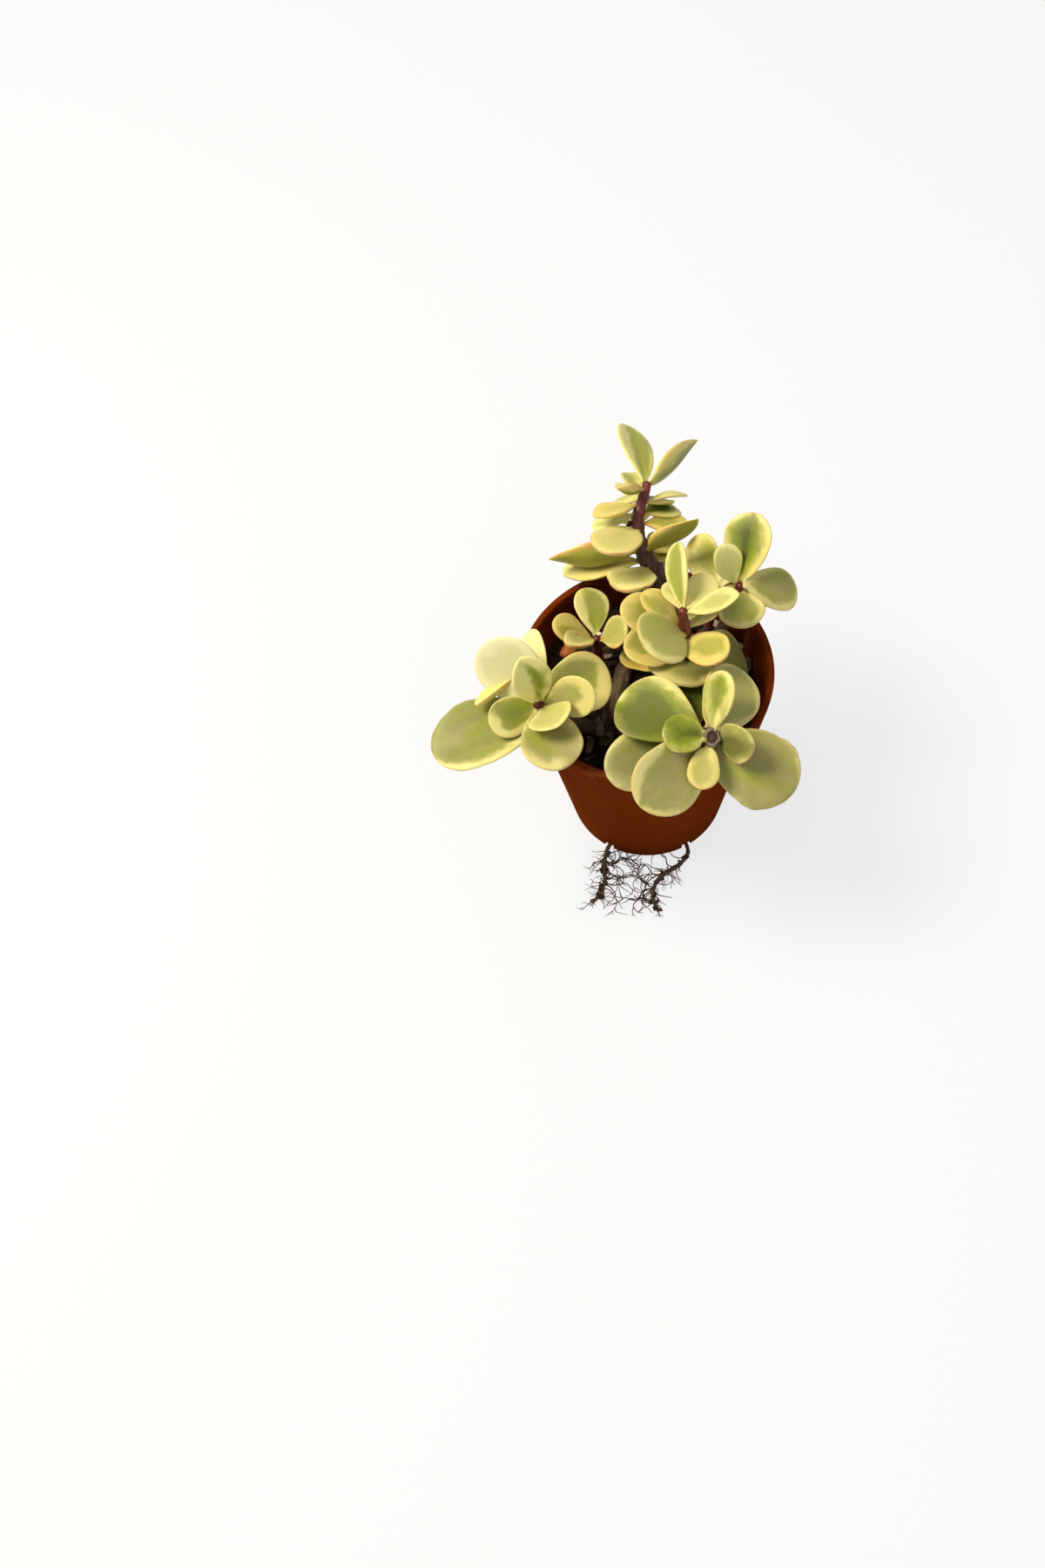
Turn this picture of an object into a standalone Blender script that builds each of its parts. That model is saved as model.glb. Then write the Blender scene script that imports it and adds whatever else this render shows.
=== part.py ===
"""A small elephant bush bonsai with variegated leaves, growing in a round plastic nursery pot.

Frame: metres, +Z up.  The origin is the middle of the pot's foot, which stands on z = 0, and the
plant's tall leader leans back towards +Y.  All the lengths below are in millimetres; MM turns them
into metres when a mesh is made.
"""
import math

import bmesh
import bpy
from mathutils import Matrix, Vector

MM = 0.001
GAP = 0.3                    # clearance that separate pieces keep to each other

# ---- the pot -------------------------------------------------------------------------------
POT_HEIGHT = 69.0
RIM_RADIUS = 35.0
FOOT_RADIUS = 23.5
COLLAR_HEIGHT = 8.5          # the thicker band below the rim
COLLAR_BOTTOM_RADIUS = 33.8
BODY_TOP_RADIUS = 32.3       # the outside just under the collar
WALL = 1.2
LIP_WIDTH = 1.8
FLOOR_TOP = 2.6
FOOT_RECESS = 1.2            # the underside is raised this much between the centre pad and the foot
PAD_RADIUS = 8.0
POT_SEGMENTS = 56
SLOT_COUNT = 6               # drainage slots through the edge of the floor
SLOT_SIZE = (6.5, 3.4, 4.4)  # radial length, width, height

# ---- the potting mix -----------------------------------------------------------------------
SOIL_LEVEL = 58.0
SOIL_BOTTOM = FLOOR_TOP + GAP
SOIL_RINGS = (5.0, 10.0, 15.0, 20.0, 25.0, 29.0)
SOIL_SEGMENTS = 30

# ---- stems: (x, y, z, radius) along each one, the first point down in the potting mix --------
STEM_SIDES = 10
STEMS = {
    "leader": ((9, 12, 52, 2.5), (9, 14, 56, 2.7), (7, 21, 66, 2.8), (4.6, 26.5, 72, 2.8),
               (1.2, 30.5, 77, 2.5), (-0.9, 34, 80.5, 2.0), (-1.6, 38, 84, 1.8),
               (-0.6, 41.5, 87.5, 1.5), (0.8, 44.5, 90.2, 1.3), (1.3, 46.5, 92, 1.2)),
    "centre": ((12, 1.5, 53, 2.0), (12, 2, 56, 2.0), (11.6, 3, 68, 1.8), (11, 3.6, 78, 1.5),
               (10.3, 4.2, 86, 1.4), (10, 4.6, 90.5, 1.0)),
    "front_right": ((4.5, -7.5, 53, 2.3), (6, -10, 56, 2.4), (10.5, -18.5, 66, 2.4),
                    (14.5, -24.5, 73.5, 2.4), (17, -27.5, 79, 2.3)),
    "left": ((-6, -13, 54, 2.0), (-9, -13, 56.5, 2.0), (-17, -13.5, 63, 1.9),
             (-24, -14.5, 70.5, 1.7), (-29.2, -15.3, 77.5, 1.0)),
    "small": ((-11.7, 6.5, 53, 1.3), (-12, 7, 56, 1.3), (-13, 8.8, 66, 1.2), (-13.3, 9.6, 71.5, 0.9)),
    "back_right": ((17.7, 12.4, 53, 1.8), (18.5, 13, 56, 1.8), (22, 16, 66, 1.7), (25, 18.3, 75, 1.4),
                   (26.2, 19.3, 81, 1.0)),
    "back_twig": ((14, 12, 53, 1.4), (15, 13.5, 56, 1.4), (18.6, 18.8, 67, 1.3), (20.6, 21, 77, 0.9)),
}
SURFACE_ROOT = ((-5.6, 9.5, 57.2, 1.8), (-6.0, 6, 59.2, 2.3), (-6.8, 2, 59.8, 2.2), (-7.8, -3, 59.2, 1.9),
                (-8.2, -8.5, 57.2, 1.5))   # half sunk in the potting mix
DRAIN_ROOTS = {
    "drain_root_left": ((-10.5, -18.2, 1.6, 0.6), (-11.7, -20.3, 1.4, 0.6), (-12.7, -22.6, 1.0, 0.6),
                        (-13.4, -26.5, 0.9, 0.7), (-13.2, -31.0, 0.8, 0.6), (-14.0, -35.5, 0.8, 0.6),
                        (-16.4, -38.8, 0.7, 0.5)),
    "drain_root_front": ((10.5, -18.2, 1.6, 0.6), (11.7, -20.3, 1.4, 0.6), (12.2, -23.0, 1.0, 0.6),
                         (9.6, -26.8, 0.9, 0.7), (5.2, -29.8, 0.9, 0.7), (2.2, -33.2, 0.8, 0.6),
                         (1.4, -38.0, 0.8, 0.6), (3.0, -42.5, 0.7, 0.5)),
}

# ---- leaves: each row is one leaf on that stem ------------------------------------------------
#    height on the stem above its second point (0 to 1), heading, rise and roll in degrees, length and width, then how far
#    the edges turn up as a share of the width and how far the tip bends up as a share of the length
LEAVES = {
    "leader": (
        (1.00, 103, -5, 38, 22.5, 11.8, 0.04, 0.00),
        (1.00, 55, -14, -85, 24.5, 10.3, 0.04, 0.00),
        (0.92, 112, -10, 25, 10.0, 7.8, 0.20, 0.00),
        (0.86, -155, 10, 25, 12.5, 9.0, 0.10, 0.00),
        (0.83, 32, -30, -10, 12.3, 9.2, 0.10, 0.00),
        (0.76, 100, -40, 0, 15.0, 11.0, 0.10, 0.00),
        (0.74, -120, 30, 0, 19.5, 13.0, 0.04, 0.00),
        (0.62, -15, 51, -60, 21.0, 10.7, 0.06, 0.00),
        (0.65, -169, 5, 70, 23.5, 12.6, 0.06, 0.00),
        (0.58, -179, -9, 20, 21.0, 14.5, 0.06, 0.00),
        (0.60, 50, -35, 0, 14.5, 11.0, 0.10, 0.00),
        (0.54, -116, 24, 11, 14.2, 13.6, 0.10, 0.00),
    ),
    "centre": (
        (0.99, 94, 37, -55, 16.4, 9.0, 0.06, 0.00),
        (0.98, 50, 10, 15, 11.0, 8.5, 0.06, 0.00),
        (0.98, -5, 30, -10, 15.0, 8.5, 0.08, 0.05),
        (0.80, -130, 35, -25, 17.8, 16.0, 0.06, 0.00),
        (0.72, 170, 30, 0, 17.5, 13.0, 0.10, 0.00),
        (0.70, -54, 24, 6, 15.0, 11.7, 0.10, 0.00),
        (0.56, -160, 25, -5, 17.0, 12.5, 0.10, 0.00),
        (0.56, 5, -45, 0, 21.0, 16.0, 0.10, 0.00),
        (0.44, -98, 30, -2, 13.7, 19.0, 0.10, 0.00),
    ),
    "front_right": (
        (1.00, -179, 13, -12, 10.5, 10.3, 0.06, 0.00),
        (1.00, 75, 40, -30, 14.5, 9.8, 0.06, 0.00),
        (0.98, -105, -20, -15, 11.0, 8.5, 0.06, 0.00),
        (0.88, -129, 0, -37, 22.3, 18.7, 0.08, -0.15),
        (0.88, 151, -2, -4, 23.1, 19.4, 0.10, 0.00),
        (0.88, 65, 0, 30, 19.0, 16.5, 0.10, 0.05),
        (0.84, -28, -12, 33, 24.3, 20.3, 0.10, 0.00),
        (0.91, -36, 40, 62, 13.5, 10.8, 0.08, 0.00),
        (0.72, -158, -4, -10, 23.5, 16.5, 0.06, 0.00),
    ),
    "left": (
        (0.98, 148, 75, -29, 16.4, 10.8, 0.10, -0.05),
        (0.96, 134, 30, -40, 20.3, 17.4, 0.02, 0.20),
        (0.94, -65, 35, 10, 14.0, 12.5, 0.10, 0.00),
        (0.93, 98, 11, -40, 20.4, 10.0, 0.10, 0.00),
        (0.91, -7, 37, 50, 17.0, 11.5, 0.08, 0.05),
        (0.91, 30, 2, 36, 19.0, 16.5, 0.14, 0.00),
        (0.92, -75, 5, 0, 19.5, 16.0, 0.10, 0.00),
        (0.86, -160, -5, -5, 30.8, 19.5, 0.10, 0.00),
        (0.97, -155, 8, -42, 12.8, 11.0, 0.08, 0.05),
    ),
    "small": (
        (0.98, 100, 15, 20, 13.5, 10.5, 0.10, 0.00),
        (0.95, -173, 43, -8, 13.8, 9.4, 0.10, 0.00),
    ),
    "back_right": (
        (1.00, 75, 40, -20, 18.0, 14.0, 0.10, 0.00),
        (1.00, 5, -30, 20, 16.5, 12.0, 0.10, 0.00),
        (0.98, 128, 55, -5, 11.5, 8.6, 0.10, 0.00),
        (0.92, -90, 10, 0, 13.0, 13.0, 0.10, 0.00),
        (0.78, 35, -40, 0, 13.5, 10.5, 0.10, 0.00),
    ),
    "back_twig": (
        (0.92, 107, 8, -35, 17.5, 10.5, 0.10, 0.00),
    ),
}
LEAF_STATIONS = (0.0, 0.08, 0.20, 0.35, 0.50, 0.65, 0.80, 0.92)
LEAF_COLUMNS = (-1.0, -0.6, 0.0, 0.6, 1.0)
LEAF_WIDEST = 0.6            # where along the length the blade is widest
LEAF_BASE_WIDTH = 0.16       # width at the stem, as a share of the full width
LEAF_OFFSET = 0.6            # how far the leaf's base stands off the stem's skin

COLOURS = {
    "terracotta plastic": ((0.62, 0.24, 0.12), 0.45),
    "potting mix": ((0.16, 0.10, 0.07), 0.95),
    "brown bark": ((0.34, 0.22, 0.15), 0.80),
    "red stem": ((0.38, 0.12, 0.09), 0.55),
    "root": ((0.24, 0.14, 0.09), 0.85),
    "variegated leaf": ((0.68, 0.70, 0.36), 0.40),
}


def clear_scene():
    for old in list(bpy.data.objects):
        bpy.data.objects.remove(old, do_unlink=True)


def own_material(object_name, kind):
    """Each piece has a material of its own, coloured by what it is made of."""
    colour, roughness = COLOURS[kind]
    made = bpy.data.materials.new(f"{kind} of {object_name}")
    made.use_nodes = True
    shader = made.node_tree.nodes["Principled BSDF"]
    shader.inputs["Base Color"].default_value = (*(c ** 2.2 for c in colour), 1.0)
    shader.inputs["Roughness"].default_value = roughness
    shader.inputs["Metallic"].default_value = 0.0
    return made


def add_object(name, points, faces, material):
    """Make one object from points in millimetres, with its faces pointing out."""
    mesh = bpy.data.meshes.new(name)
    mesh.from_pydata([Vector(p) * MM for p in points], [], faces)
    build = bmesh.new()
    build.from_mesh(mesh)
    bmesh.ops.recalc_face_normals(build, faces=build.faces)
    build.to_mesh(mesh)
    build.free()
    mesh.materials.append(own_material(name, material))
    mesh.shade_smooth()
    made = bpy.data.objects.new(name, mesh)
    bpy.context.collection.objects.link(made)
    return made


def make_cutter(cutter):
    cutter.hide_render = True
    cutter.display_type = "WIRE"
    return cutter


def cut(target, cutter):
    boolean = target.modifiers.new("cut by " + cutter.name, "BOOLEAN")
    boolean.operation = "DIFFERENCE"
    boolean.solver = "EXACT"
    boolean.object = make_cutter(cutter)


def turned(name, profile, segments, material):
    """Turn a closed (radius, height) profile about Z; a zero radius becomes one point."""
    points = []
    rings = []
    for radius, height in profile:
        if radius == 0:
            rings.append([len(points)] * segments)
            points.append((0, 0, height))
            continue
        rings.append([len(points) + k for k in range(segments)])
        for k in range(segments):
            angle = math.tau * k / segments
            points.append((radius * math.cos(angle), radius * math.sin(angle), height))
    faces = []
    for lower, upper in zip(rings, rings[1:]):
        for k in range(segments):
            corner = [lower[k], lower[(k + 1) % segments], upper[(k + 1) % segments], upper[k]]
            face = list(dict.fromkeys(corner))
            if len(face) > 2:
                faces.append(face)
    return add_object(name, points, faces, material)


def wall_radius(height):
    """The pot's outside radius below its collar."""
    return FOOT_RADIUS + (BODY_TOP_RADIUS - FOOT_RADIUS) * height / (POT_HEIGHT - COLLAR_HEIGHT)


def build_pot():
    collar = POT_HEIGHT - COLLAR_HEIGHT
    profile = (
        (0, 0),
        (PAD_RADIUS, 0),
        (PAD_RADIUS + 1.0, FOOT_RECESS),
        (FOOT_RADIUS - 4.5, FOOT_RECESS),
        (FOOT_RADIUS - 3.5, 0),
        (FOOT_RADIUS - 0.8, 0),
        (FOOT_RADIUS, 0.8),
        (wall_radius(20), 20),
        (wall_radius(40), 40),
        (wall_radius(collar - 1), collar - 1),
        (COLLAR_BOTTOM_RADIUS, collar),
        (RIM_RADIUS - 0.3, POT_HEIGHT - 1.2),
        (RIM_RADIUS, POT_HEIGHT - 0.7),
        (RIM_RADIUS - 0.3, POT_HEIGHT),
        (RIM_RADIUS - LIP_WIDTH, POT_HEIGHT),
        (RIM_RADIUS - LIP_WIDTH - 0.5, POT_HEIGHT - 1.0),
        (wall_radius(collar) - WALL, collar),
        (wall_radius(40) - WALL, 40),
        (wall_radius(20) - WALL, 20),
        (wall_radius(FLOOR_TOP) - WALL, FLOOR_TOP + 0.8),
        (wall_radius(0) - WALL - 0.8, FLOOR_TOP),
        (0, FLOOR_TOP),
    )
    pot = turned("nursery_pot", profile, POT_SEGMENTS, "terracotta plastic")
    length, width, height = SLOT_SIZE
    for index in range(SLOT_COUNT):
        angle = math.tau * (index + 0.5) / SLOT_COUNT - math.pi / 2
        box = bmesh.new()
        bmesh.ops.create_cube(box, size=1.0)
        place = Matrix.Rotation(angle, 4, "Z") @ Matrix.Translation(
            Vector((FOOT_RADIUS - 1.2, 0, height / 2 - 0.7)) * MM)
        bmesh.ops.transform(box, verts=box.verts,
                            matrix=place @ Matrix.Diagonal((length * MM, width * MM, height * MM, 1)))
        mesh = bpy.data.meshes.new(f"slot {index + 1}")
        box.to_mesh(mesh)
        box.free()
        cutter = bpy.data.objects.new(f"slot {index + 1}", mesh)
        bpy.context.collection.objects.link(cutter)
        cut(pot, cutter)
    return pot


def soil_height(x, y):
    """The lumpy top of the potting mix, in millimetres."""
    lumps = (0.55 * math.sin(0.43 * x + 0.9) * math.cos(0.37 * y - 0.4)
             + 0.35 * math.sin(0.91 * x - 0.3 * y) + 0.25 * math.cos(0.23 * x + 1.1 * y + 2.0))
    return SOIL_LEVEL + 0.6 * lumps - 0.0009 * (x * x + y * y)


def build_soil():
    def inner(height):
        return wall_radius(height) - WALL - GAP

    edge = inner(SOIL_LEVEL - 1.0)
    bottom_edge = wall_radius(0) - WALL - 0.8 - GAP
    points = [(0, 0, soil_height(0, 0))]
    levels = [(radius, None) for radius in SOIL_RINGS]
    levels += [(edge, SOIL_LEVEL - 1.6), (inner(30), 30.0), (inner(5), 5.0), (bottom_edge, SOIL_BOTTOM)]
    for radius, height in levels:
        for k in range(SOIL_SEGMENTS):
            angle = math.tau * k / SOIL_SEGMENTS
            x, y = radius * math.cos(angle), radius * math.sin(angle)
            points.append((x, y, soil_height(x, y) if height is None else height))
    points.append((0, 0, SOIL_BOTTOM))
    last = len(points) - 1
    faces = []
    for k in range(SOIL_SEGMENTS):
        nxt = (k + 1) % SOIL_SEGMENTS
        faces.append((0, 1 + k, 1 + nxt))
        for ring in range(len(levels) - 1):
            low = 1 + ring * SOIL_SEGMENTS
            high = low + SOIL_SEGMENTS
            faces.append((low + k, high + k, high + nxt, low + nxt))
        end = 1 + (len(levels) - 1) * SOIL_SEGMENTS
        faces.append((end + k, last, end + nxt))
    return add_object("potting_mix", points, faces, "potting mix")


def tube(name, path, material, sides=STEM_SIDES, grow=0.0):
    """A round rod through (x, y, z, radius) points, with both ends closed; grow makes it fatter
    and longer, for the socket that such a rod sits in."""
    points = []
    count = len(path)
    side = Vector((1.0, 0.2, 0.1))
    for i, (x, y, z, radius) in enumerate(path):
        before = Vector(path[max(i - 1, 0)][:3])
        after = Vector(path[min(i + 1, count - 1)][:3])
        along = (after - before).normalized()
        if i == 0 or i == count - 1:
            x, y, z = Vector((x, y, z)) + along * (grow if i else -grow)
        side = (side - along * side.dot(along)).normalized()
        other = along.cross(side)
        for k in range(sides):
            angle = math.tau * k / sides
            reach = (math.cos(angle) * side + math.sin(angle) * other) * (radius + grow)
            points.append(Vector((x, y, z)) + reach)
    faces = [list(range(sides))[::-1], [(count - 1) * sides + k for k in range(sides)]]
    for i in range(count - 1):
        for k in range(sides):
            low = i * sides
            nxt = (k + 1) % sides
            faces.append((low + k, low + nxt, low + sides + nxt, low + sides + k))
    return add_object(name, points, faces, material)


def stem_at(path, share):
    """Point, radius and direction at a share of a stem's length."""
    steps = [(Vector(b[:3]) - Vector(a[:3])).length for a, b in zip(path, path[1:])]

    def read(distance):
        distance = min(max(distance, 0.0), sum(steps))
        for index, step in enumerate(steps):
            if distance <= step or index == len(steps) - 1:
                break
            distance -= step
        a, b = path[index], path[index + 1]
        t = min(distance / step, 1.0)
        return Vector([a[i] + (b[i] - a[i]) * t for i in range(3)]), a[3] + (b[3] - a[3]) * t

    here = share * sum(steps)
    point, radius = read(here)
    along = (read(here + 1.5)[0] - read(here - 1.5)[0]).normalized()
    return point, radius, along


def leaf_frame(heading, rise, roll):
    """Unit vectors along a leaf, across it and out of its upper face."""
    h, p, r = (math.radians(a) for a in (heading, rise, roll))
    along = Vector((math.cos(h) * math.cos(p), math.sin(h) * math.cos(p), math.sin(p)))
    level = Vector((math.sin(h), -math.cos(h), 0.0))
    up = level.cross(along)
    across = level * math.cos(r) + along.cross(level) * math.sin(r)
    out = up * math.cos(r) + along.cross(up) * math.sin(r)
    return along, across, out


def leaf_half_width(u):
    if u < LEAF_WIDEST:
        swell = math.sin(math.pi / 2 * u / LEAF_WIDEST) ** 1.1
        return LEAF_BASE_WIDTH + (1 - LEAF_BASE_WIDTH) * swell
    return math.sqrt(max(1 - ((u - LEAF_WIDEST) / (1 - LEAF_WIDEST)) ** 2, 0.0))


def build_leaf(name, path, row):
    """A fleshy, spoon-shaped leaf: thick in the middle, thin at the edges, narrow at the stem."""
    share, heading, rise, roll, length, width, cup, bend = row
    along, across, out = leaf_frame(heading, rise, roll)
    centre, radius, stem_dir = stem_at(path, share)
    flat, _, _ = leaf_frame(heading, rise, 0)
    away = flat - stem_dir * flat.dot(stem_dir)
    base = centre + away.normalized() * (radius + LEAF_OFFSET)
    thickness = 0.9 + 0.07 * width

    points = []
    for u in LEAF_STATIONS:
        half = leaf_half_width(u)
        thick = thickness * half ** 0.6 / 2
        columns = [(v, 1) for v in LEAF_COLUMNS] + [(v, -1) for v in LEAF_COLUMNS[-2:0:-1]]
        for v, face in columns:
            lift = cup * width * (v * half) ** 2 + bend * length * u * u
            lift += face * thick * math.sqrt(1 - v * v)
            points.append(base + along * (u * length) + across * (v * half * width / 2) + out * lift)
    ring = 2 * len(LEAF_COLUMNS) - 2
    tip = len(points)
    points.append(base + along * length + out * (bend * length))
    faces = [list(range(ring))[::-1]]
    for i in range(len(LEAF_STATIONS) - 1):
        for k in range(ring):
            a = i * ring + k
            b = i * ring + (k + 1) % ring
            faces.append((a, b, b + ring))
            faces.append((a, b + ring, a + ring))
    last = (len(LEAF_STATIONS) - 1) * ring
    for k in range(ring):
        faces.append((last + k, last + (k + 1) % ring, tip))
    return add_object(name, points, faces, "variegated leaf")


def main():
    clear_scene()
    build_pot()
    soil = build_soil()

    for name, path in STEMS.items():
        bark = "brown bark" if name in ("leader", "front_right", "left") else "red stem"
        tube(f"{name}_stem", path, bark)
        cut(soil, tube(f"socket {name}", path[:3], "potting mix", grow=GAP))
        for number, row in enumerate(LEAVES[name], 1):
            build_leaf(f"{name}_leaf_{number:02d}", path[1:], row)

    tube("surface_root", SURFACE_ROOT, "root")
    cut(soil, tube("socket surface_root", SURFACE_ROOT, "potting mix", grow=GAP))
    for name, path in DRAIN_ROOTS.items():
        tube(name, path, "root", sides=8)


main()
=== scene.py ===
"""Looks of a small elephant bush bonsai with variegated leaves in a round plastic nursery pot.

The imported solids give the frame.  The leaves, stems, potting mix and pot are built again here as
fine surfaces on the same lengths, in millimetres, and MM turns them into metres.
"""
import math
import random

import bmesh
import bpy
from mathutils import Matrix, Vector, noise


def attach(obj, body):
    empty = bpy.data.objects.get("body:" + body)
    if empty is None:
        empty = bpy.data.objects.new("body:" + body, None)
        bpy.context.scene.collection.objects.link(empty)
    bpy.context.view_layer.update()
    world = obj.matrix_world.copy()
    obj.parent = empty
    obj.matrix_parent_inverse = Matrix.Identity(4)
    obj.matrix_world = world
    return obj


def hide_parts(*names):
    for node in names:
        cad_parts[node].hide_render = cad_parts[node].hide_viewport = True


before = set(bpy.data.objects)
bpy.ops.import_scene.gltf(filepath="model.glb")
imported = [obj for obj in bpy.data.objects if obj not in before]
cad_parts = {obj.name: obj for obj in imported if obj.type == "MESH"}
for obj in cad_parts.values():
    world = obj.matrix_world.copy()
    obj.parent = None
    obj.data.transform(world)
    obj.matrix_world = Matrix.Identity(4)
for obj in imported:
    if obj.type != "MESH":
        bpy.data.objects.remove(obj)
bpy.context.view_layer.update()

MM = 0.001

# ---- the pot: a thin injection-moulded nursery pot -------------------------------------------
POT_HEIGHT = 69.0
RIM_RADIUS = 35.0
FOOT_RADIUS = 23.5
COLLAR_HEIGHT = 8.5
COLLAR_BOTTOM_RADIUS = 33.8
BODY_TOP_RADIUS = 32.3
WALL = 1.2
LIP_WIDTH = 1.8
FLOOR_TOP = 2.6
FOOT_RECESS = 1.2
PAD_RADIUS = 8.0
MID_HEIGHT = 30.0            # the wall gets a ring of points here
FOOT_RING = 3.5              # width of the ring that the pot stands on
CORNER_ROUND = 0.55
SHARP_ANGLE = 32             # edges that turn more than this many degrees stay crisp
POT_SEGMENTS = 192
SLOT_COUNT = 6
SLOT_SIZE = (6.5, 3.4, 4.4)

# ---- the potting mix -------------------------------------------------------------------------
SOIL_LEVEL = 58.0
SOIL_BOTTOM = FLOOR_TOP + 0.3
SOIL_SIDES = 200
SOIL_RINGS = 76
SOIL_WALL_HEIGHTS = (56.0, 30.0, 6.0, SOIL_BOTTOM)      # rings of points down its hidden side

# ---- stems: (x, y, z, radius), from the potting mix to the growing tip -----------------------
STEMS = {
    "leader": ((9, 12, 52, 2.5), (9, 14, 56, 2.7), (7, 21, 66, 2.8), (4.6, 26.5, 72, 2.8),
               (1.2, 30.5, 77, 2.5), (-0.9, 34, 80.5, 2.0), (-1.6, 38, 84, 1.8),
               (-0.6, 41.5, 87.5, 1.5), (0.8, 44.5, 90.2, 1.3), (1.3, 46.5, 92, 1.2)),
    "centre": ((12, 1.5, 53, 2.0), (12, 2, 56, 2.0), (11.6, 3, 68, 1.8), (11, 3.6, 78, 1.5),
               (10.3, 4.2, 86, 1.4), (10, 4.6, 90.5, 1.0)),
    "front_right": ((4.5, -7.5, 53, 2.3), (6, -10, 56, 2.4), (10.5, -18.5, 66, 2.4),
                    (14.5, -24.5, 73.5, 2.4), (17, -27.5, 79, 2.3)),
    "left": ((-6, -13, 54, 2.0), (-9, -13, 56.5, 2.0), (-17, -13.5, 63, 1.9),
             (-24, -14.5, 70.5, 1.7), (-29.2, -15.3, 77.5, 1.0)),
    "small": ((-11.7, 6.5, 53, 1.3), (-12, 7, 56, 1.3), (-13, 8.8, 66, 1.2), (-13.3, 9.6, 71.5, 0.9)),
    "back_right": ((17.7, 12.4, 53, 1.8), (18.5, 13, 56, 1.8), (22, 16, 66, 1.7), (25, 18.3, 75, 1.4),
                   (26.2, 19.3, 81, 1.0)),
    "back_twig": ((14, 12, 53, 1.4), (15, 13.5, 56, 1.4), (18.6, 18.8, 67, 1.3), (20.6, 21, 77, 0.9)),
}
# a side twig of the left stem, with one leaf; it has no solid of its own
SIDE_TWIGS = {"left_twig": ((-26.5, -14.8, 73.5, 1.0), (-28.0, -12.5, 75.5, 0.9), (-29.6, -8.5, 77.8, 0.8),
                            (-30.6, -4.8, 79.6, 0.7))}
# where brown bark gives way to red young stem, as a share of the length above the second point
BARK_END = {"leader": 0.74, "centre": 0.30, "front_right": 1.3, "left": 0.85, "small": 0.2,
            "back_right": 0.5, "back_twig": 0.4, "left_twig": 0.2}
SURFACE_ROOT = ((-5.6, 9.5, 57.2, 1.8), (-6.0, 6, 59.2, 2.3), (-6.8, 2, 59.8, 2.2), (-7.8, -3, 59.2, 1.9),
                (-8.2, -8.5, 57.2, 1.5))
DRAIN_ROOTS = {
    "drain_root_left": ((-10.5, -18.2, 1.6, 0.6), (-11.7, -20.3, 1.4, 0.6), (-12.7, -22.6, 1.0, 0.6),
                        (-13.4, -26.5, 0.9, 0.7), (-13.2, -31.0, 0.8, 0.6), (-14.0, -35.5, 0.8, 0.6),
                        (-16.4, -38.8, 0.7, 0.5)),
    "drain_root_front": ((10.5, -18.2, 1.6, 0.6), (11.7, -20.3, 1.4, 0.6), (12.2, -23.0, 1.0, 0.6),
                         (9.6, -26.8, 0.9, 0.7), (5.2, -29.8, 0.9, 0.7), (2.2, -33.2, 0.8, 0.6),
                         (1.4, -38.0, 0.8, 0.6), (3.0, -42.5, 0.7, 0.5)),
}

# ---- leaves ----------------------------------------------------------------------------------
# Each look says how the green lies in the cream: width of the cream margin in mm, half width of
# the green strip (1.3 reaches the edge), softness of their border in mm, strength of the green,
# then its hue (0 fresh green, 1 grey olive), the gold in the cream, and how dark the middle is
# (below 0 it makes the cream milkier instead).
LOOKS = {
    "olive": (0.9, 1.3, 2.6, 0.95, 1.00, 0.15, 0.25),
    "fresh": (1.2, 1.3, 2.2, 0.95, 0.10, 0.20, 0.30),
    "keel": (-0.3, 1.5, 2.4, 0.72, 0.00, 0.65, 0.10),
    "dark": (1.0, 1.3, 2.2, 1.00, 0.30, 0.20, 0.90),
    "strip": (0.9, 0.42, 2.6, 0.85, 0.00, 0.05, 0.20),
    "band": (0.6, 0.60, 2.8, 1.00, 0.05, 0.35, 0.95),
    "pale": (1.8, 1.3, 3.2, 0.50, 0.40, 0.10, 0.00),
    "cream": (2.8, 1.3, 3.4, 0.20, 0.00, 0.00, 0.00),
    "golden": (2.2, 1.3, 3.0, 0.70, 0.10, 0.60, 0.00),
    "amber": (2.6, 1.3, 3.0, 0.30, 0.40, 1.00, 0.00),
}
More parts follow.
